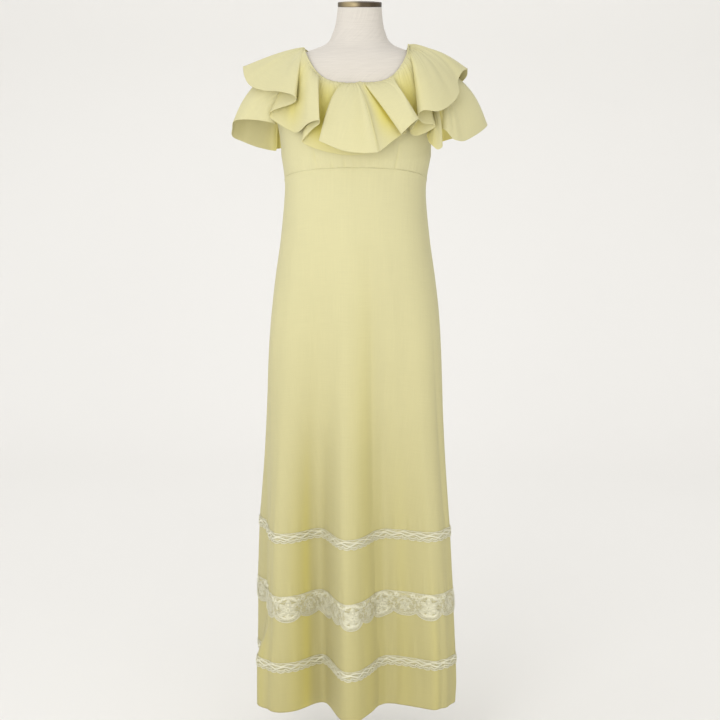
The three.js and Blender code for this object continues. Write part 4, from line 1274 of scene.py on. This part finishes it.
def whole_flower(offsets, at_u, at_v, size, height):
    """Six round petals about a centre, each leaning away from it, for every repeat."""
    lean = np.arange(6) * 60 + 30
    centre = offsets[:, None] + at_u + size * 0.62 * np.cos(np.radians(lean))
    down = at_v + size * 0.62 * np.sin(np.radians(lean)) + 0 * centre
    lean = np.broadcast_to(lean, centre.shape)
    return petals(centre.ravel(), down.ravel(), size * 0.44, size * 0.32, lean.ravel(), height, 0.9)


def leaf_row(offsets, places, size, height):
    """Leaves at the listed places of the repeat: u, v, lean."""
    u, v, lean = np.array(places, float).T
    centre = (offsets[:, None] + u).ravel()
    down = np.broadcast_to(v, (len(offsets), len(v))).ravel()
    leans = np.broadcast_to(lean, (len(offsets), len(lean))).ravel()
    return petals(centre, down, size, size * 0.42, leans, height, 0.7, 3, 10)


def work_wide_lace(work, strip):
    """The wide band: a dense flower with leaves over each broad scallop, a smaller one between."""
    offsets = np.arange(strip.count) * strip.pitch
    p = strip.pitch
    big, small = p * BROAD_SCALLOP / 2, p * (1 + BROAD_SCALLOP) / 2
    for radius, lift in ((21, 0), (13.5, 0.9), (6.5, 1.8)):
        work.repeat(offsets, whole_flower, big, 30, radius, LACE_OUT + lift)
    for radius, lift in ((13, 0), (6, 1.1)):
        work.repeat(offsets, whole_flower, small, 31, radius, LACE_OUT + lift)
    for place, drop in ((p * 0.03, 14), (p * 0.49, 15), (p * 0.60, 9), (p * 0.93, 9)):
        work.repeat(offsets, whole_flower, place, drop, 7, LACE_OUT)
    arcs = (  # middle of an arc of leaves, its reach across and down, their lean, and the arc's turns
        (big, 27, 25, 23, 60, (-3.0, -0.15, 11)),
        (small, 29, 16.5, 15, 60, (-2.8, -0.3, 7)),
        (big, 30, 24, 19, 90, (0.5, 2.7, 9)),
    )
    leaves = [(u + across * math.cos(turn), v + down * math.sin(turn), math.degrees(turn) + lean)
              for u, v, across, down, lean, turns in arcs for turn in np.linspace(*turns)]
    leaves += [(p * 0.55, 29, 80), (p * 0.545, 38, 60), (p * 0.975, 29, 100), (p * 0.98, 38, 120)]
    work.repeat(offsets, leaf_row, leaves, 5.6, LACE_OUT + 0.2)


def work_edges(work, strip, band):
    """Threads along the band: a waving top edge, waving lines and a double scalloped foot."""
    samples = max(int(strip.round[-1] / 1.6), 8)
    u = np.linspace(0, strip.round[-1], samples)[None]
    p = strip.pitch
    foot = scallop_foot(u, p, band)
    wave = 2 * math.pi * u / p
    lines = [(1.2 + 0.5 * np.sin(wave * 2), 0.9), (foot, 1.3)]
    if band["wide"]:
        lines += [(4.2 + 0.8 * np.sin(wave * 5), 0.9), (8.5 + 2.5 * np.sin(wave * 3 + 0.5), 0.9),
                  (foot - 3, 0.8), (foot - 5.6, 1.2), (foot - 8.6 + np.sin(wave * 8), 0.8)]
    else:
        lines += [(5.4 + 1.5 * np.sin(wave), 2.0), (10.6 + 2.2 * np.sin(wave + 1.9), 2.3),
                  (foot - 4.4 + 0.7 * np.sin(wave * 3), 1.8), (8.0 + 1.9 * np.sin(wave * 2 + 0.6), 0.7)]
    for v, radius in lines:
        work.add(*tube_along(u, v, radius * 0.8, LACE_OUT))
    if band["wide"]:
        sparse = u[:, ::2]
        for row, v in enumerate(np.arange(13, 43, 3.6)):
            sway = 1.3 * np.sin(2 * math.pi * sparse / p * (5 + row % 3) + row)
            work.add(*tube_along(sparse, v + sway, 0.55, LACE_OUT + 1.9, 4))


def make_lace(scene, band):
    """One band: a net shell that follows the skirt, and the worked threads and flowers on it."""
    strip = LaceStrip(band)
    cloth = scene.dress_cloth
    net = material_named("lace_net", lace_net_material, cloth)
    thread = material_named("lace_thread", lace_thread_material, cloth)
    work = LaceWork(strip)
    work_edges(work, strip, band)
    if band["wide"]:
        work_wide_lace(work, strip)
    half = strip.round[np.searchsorted(strip.angles, 90)]
    for front in (True, False):
        low, high = (0, half) if front else (half, strip.round[-1])
        u = np.linspace(low, high - 1e-4, LACE_COLUMNS)[None] - strip.start
        v = scallop_foot(u, strip.pitch, band) * np.linspace(0, 1, 11 if band["wide"] else 5)[:, None]
        u = np.broadcast_to(u, v.shape)
        grid = strip.place(u, v, np.full(v.shape, LACE_OUT - 0.1))
        name = half_name(band["name"], front)
        piece = cloth_piece(name + "_net", grid, 0.3, net, uv=np.stack([u, -v], -1))
        finish_piece(piece, "lace", name)
        threads = work.piece(name + "_work", front, thread)
        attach(threads, "root")
        declare_sheet(grid)


# ---------------------------------------------------------------- stage
SKY_RIGHT = 0.64  # the even light from the right, as a share of that from the left
SWEEP_REACH = 9000  # how far the paper reaches to the front, to the sides and up
SWEEP_START = 2500  # where it starts to curve up, behind the dress
SWEEP_RADIUS = 1500
SENSOR_WIDTH = 36
FOCAL_SHARE = 1810.2 / 720  # focal length as a share of the sensor's width


def make_stage(scene):
    """A pale floor that curves up into a backdrop, a large key light, a fill light and the camera."""
    stage = scene.dress_stage
    s = Shader("stage_paper")
    cloud = s.noise(s.object_place(), 0.6, 2)
    color = s.ramp(cloud, (0.3, (0.79, 0.78, 0.76)), (0.7, (0.805, 0.795, 0.775)))
    paper = s.surface(s.node("BsdfPrincipled", {"Base Color": color, "Roughness": 0.95,
                                                "Specular IOR Level": 0.1}).outputs[0])
    turn = np.radians(np.linspace(0, 90, 24))
    depth = np.concatenate([[-SWEEP_REACH, SWEEP_START], SWEEP_START + SWEEP_RADIUS * np.sin(turn[1:]),
                            [SWEEP_START + SWEEP_RADIUS]])
    height = np.concatenate([[0, 0], SWEEP_RADIUS * (1 - np.cos(turn[1:])), [SWEEP_REACH]])
    across = np.linspace(-SWEEP_REACH, SWEEP_REACH, 5)
    grid = np.stack(np.broadcast_arrays(across[None], depth[:, None], height[:, None]), -1)
    floor = build_mesh("stage_sweep", grid, grid_quads(*grid.shape[:2])[:, ::-1],
                       grid[..., :2], paper)

    camera = bpy.data.objects.new("camera", bpy.data.cameras.new("camera"))
    camera.data.sensor_width = SENSOR_WIDTH
    camera.data.lens = SENSOR_WIDTH * FOCAL_SHARE
    camera.location = (0.010, -stage.camera_distance, stage.camera_height)
    camera.rotation_euler = (math.pi / 2 - stage.camera_pitch, 0, 0)
    camera.data.clip_end = 60
    bpy.context.collection.objects.link(camera)
    scene.camera = camera

    lights = (
        ("key_light", (-0.8, -2.15, 1.6), (0, 0, 1.3), 1.1, stage.key_power, (1, 1, 1)),
        ("fill_light", (0.9, -2.6, 0.5), (0, 0, 0.7), 1.4, stage.fill_power, (1, 0.97, 0.86)),
        ("floor_light", (0, 2.2, 3.6), (0, 2.6, 0), 3.6, stage.floor_power, (1, 1, 1)),
    )
    for name, place, target, size, power, color in lights:
        lamp = bpy.data.lights.new(name, "AREA")
        lamp.shape, lamp.size, lamp.energy, lamp.color = "DISK", size, power, color
        light = bpy.data.objects.new(name, lamp)
        light.location = place
        aim = np.array(target) - np.array(place)
        light.rotation_euler = (math.atan2(np.hypot(aim[0], aim[1]), -aim[2]), 0,
                                math.atan2(aim[1], aim[0]) - math.pi / 2)
        bpy.context.collection.objects.link(light)

    world = bpy.data.worlds.new("studio")
    world.use_nodes = True
    nodes, links = world.node_tree.nodes, world.node_tree.links
    place, parts, across, ramp = (nodes.new("ShaderNode" + kind) for kind in (
        "TexCoord", "SeparateXYZ", "MapRange", "ValToRGB"))
    across.inputs["From Min"].default_value = -1
    ramp.color_ramp.elements[0].color = (1, 0.995, 0.985, 1)
    ramp.color_ramp.elements[1].color = (SKY_RIGHT, SKY_RIGHT * 0.995, SKY_RIGHT * 0.985, 1)
    links.new(place.outputs["Generated"], parts.inputs["Vector"])
    links.new(parts.outputs["X"], across.inputs["Value"])
    links.new(across.outputs[0], ramp.inputs["Fac"])
    links.new(ramp.outputs["Color"], nodes["Background"].inputs["Color"])
    nodes["Background"].inputs["Strength"].default_value = stage.sky_strength
    scene.world = world
    scene.view_settings.view_transform = "Standard"


# ---------------------------------------------------------------- operators and panel
class DRESS_OT_stage(bpy.types.Operator):
    """Sets out the floor, the lights and the camera"""
    bl_idname = "dress.stage"
    bl_label = "Stage"

    def execute(self, context):
        make_stage(context.scene)
        return {"FINISHED"}


class DRESS_OT_form(bpy.types.Operator):
    """Makes the form's linen cover and finishes its cap, pole and base"""
    bl_idname = "dress.form"
    bl_label = "Dress form"

    def execute(self, context):
        make_form()
        make_stand()
        return {"FINISHED"}


class DRESS_OT_bodice(bpy.types.Operator):
    """Makes the front and the back bodice"""
    bl_idname = "dress.bodice"
    bl_label = "Bodice"

    def execute(self, context):
        for front in (True, False):
            make_bodice(context.scene, front)
        return {"FINISHED"}


class DRESS_OT_skirt(bpy.types.Operator):
    """Makes the front and the back skirt"""
    bl_idname = "dress.skirt"
    bl_label = "Skirt"

    def execute(self, context):
        for front in (True, False):
            make_skirt(context.scene, front)
        return {"FINISHED"}


class DRESS_OT_flounce(bpy.types.Operator):
    """Makes the two halves of the neck flounce"""
    bl_idname = "dress.flounce"
    bl_label = "Neck flounce"

    def execute(self, context):
        make_flounce(context.scene, FLOUNCE_FRONT, "flounce_front", 700)
        make_flounce(context.scene, FLOUNCE_BACK, "flounce_back", 480)
        return {"FINISHED"}


class DRESS_OT_sleeves(bpy.types.Operator):
    """Makes the two flutter sleeves"""
    bl_idname = "dress.sleeves"
    bl_label = "Sleeves"

    def execute(self, context):
        make_sleeve(context.scene, SLEEVE_LEFT, -1, "sleeve_left")
        make_sleeve(context.scene, SLEEVE_RIGHT, 1, "sleeve_right")
        return {"FINISHED"}


class DRESS_OT_lace(bpy.types.Operator):
    """Makes the three lace bands"""
    bl_idname = "dress.lace"
    bl_label = "Lace bands"

    def execute(self, context):
        for band in LACE_BANDS:
            make_lace(context.scene, band)
        return {"FINISHED"}


OPERATORS = (DRESS_OT_stage, DRESS_OT_form, DRESS_OT_bodice, DRESS_OT_skirt, DRESS_OT_flounce,
             DRESS_OT_sleeves, DRESS_OT_lace)


class DRESS_PT_panel(bpy.types.Panel):
    """Lists the pieces and their settings"""
    bl_idname = "DRESS_PT_panel"
    bl_label = "Maxi dress"
    bl_space_type = "VIEW_3D"
    bl_region_type = "UI"
    bl_category = "Dress"

    def draw(self, context):
        for operator in OPERATORS:
            self.layout.operator(operator.bl_idname)
        for group in (context.scene.dress_cloth, context.scene.dress_cut, context.scene.dress_stage):
            for name in group.__annotations__:
                self.layout.prop(group, name)


GROUPS = {"dress_cloth": DressCloth, "dress_cut": DressCut, "dress_stage": DressStage}


def register():
    for group in GROUPS.values():
        bpy.utils.register_class(group)
    for operator in (*OPERATORS, DRESS_PT_panel):
        bpy.utils.register_class(operator)
    for name, group in GROUPS.items():
        setattr(bpy.types.Scene, name, bpy.props.PointerProperty(type=group))


def unregister():
    for name in GROUPS:
        delattr(bpy.types.Scene, name)
    for item in (DRESS_PT_panel, *reversed(OPERATORS), *reversed(GROUPS.values())):
        bpy.utils.unregister_class(item)


def main():
    register()
    bpy.ops.dress.stage()
    bpy.ops.dress.form()
    bpy.ops.dress.bodice()
    bpy.ops.dress.skirt()
    bpy.ops.dress.flounce()
    bpy.ops.dress.sleeves()
    bpy.ops.dress.lace()


if __name__ == "__main__":
    main()
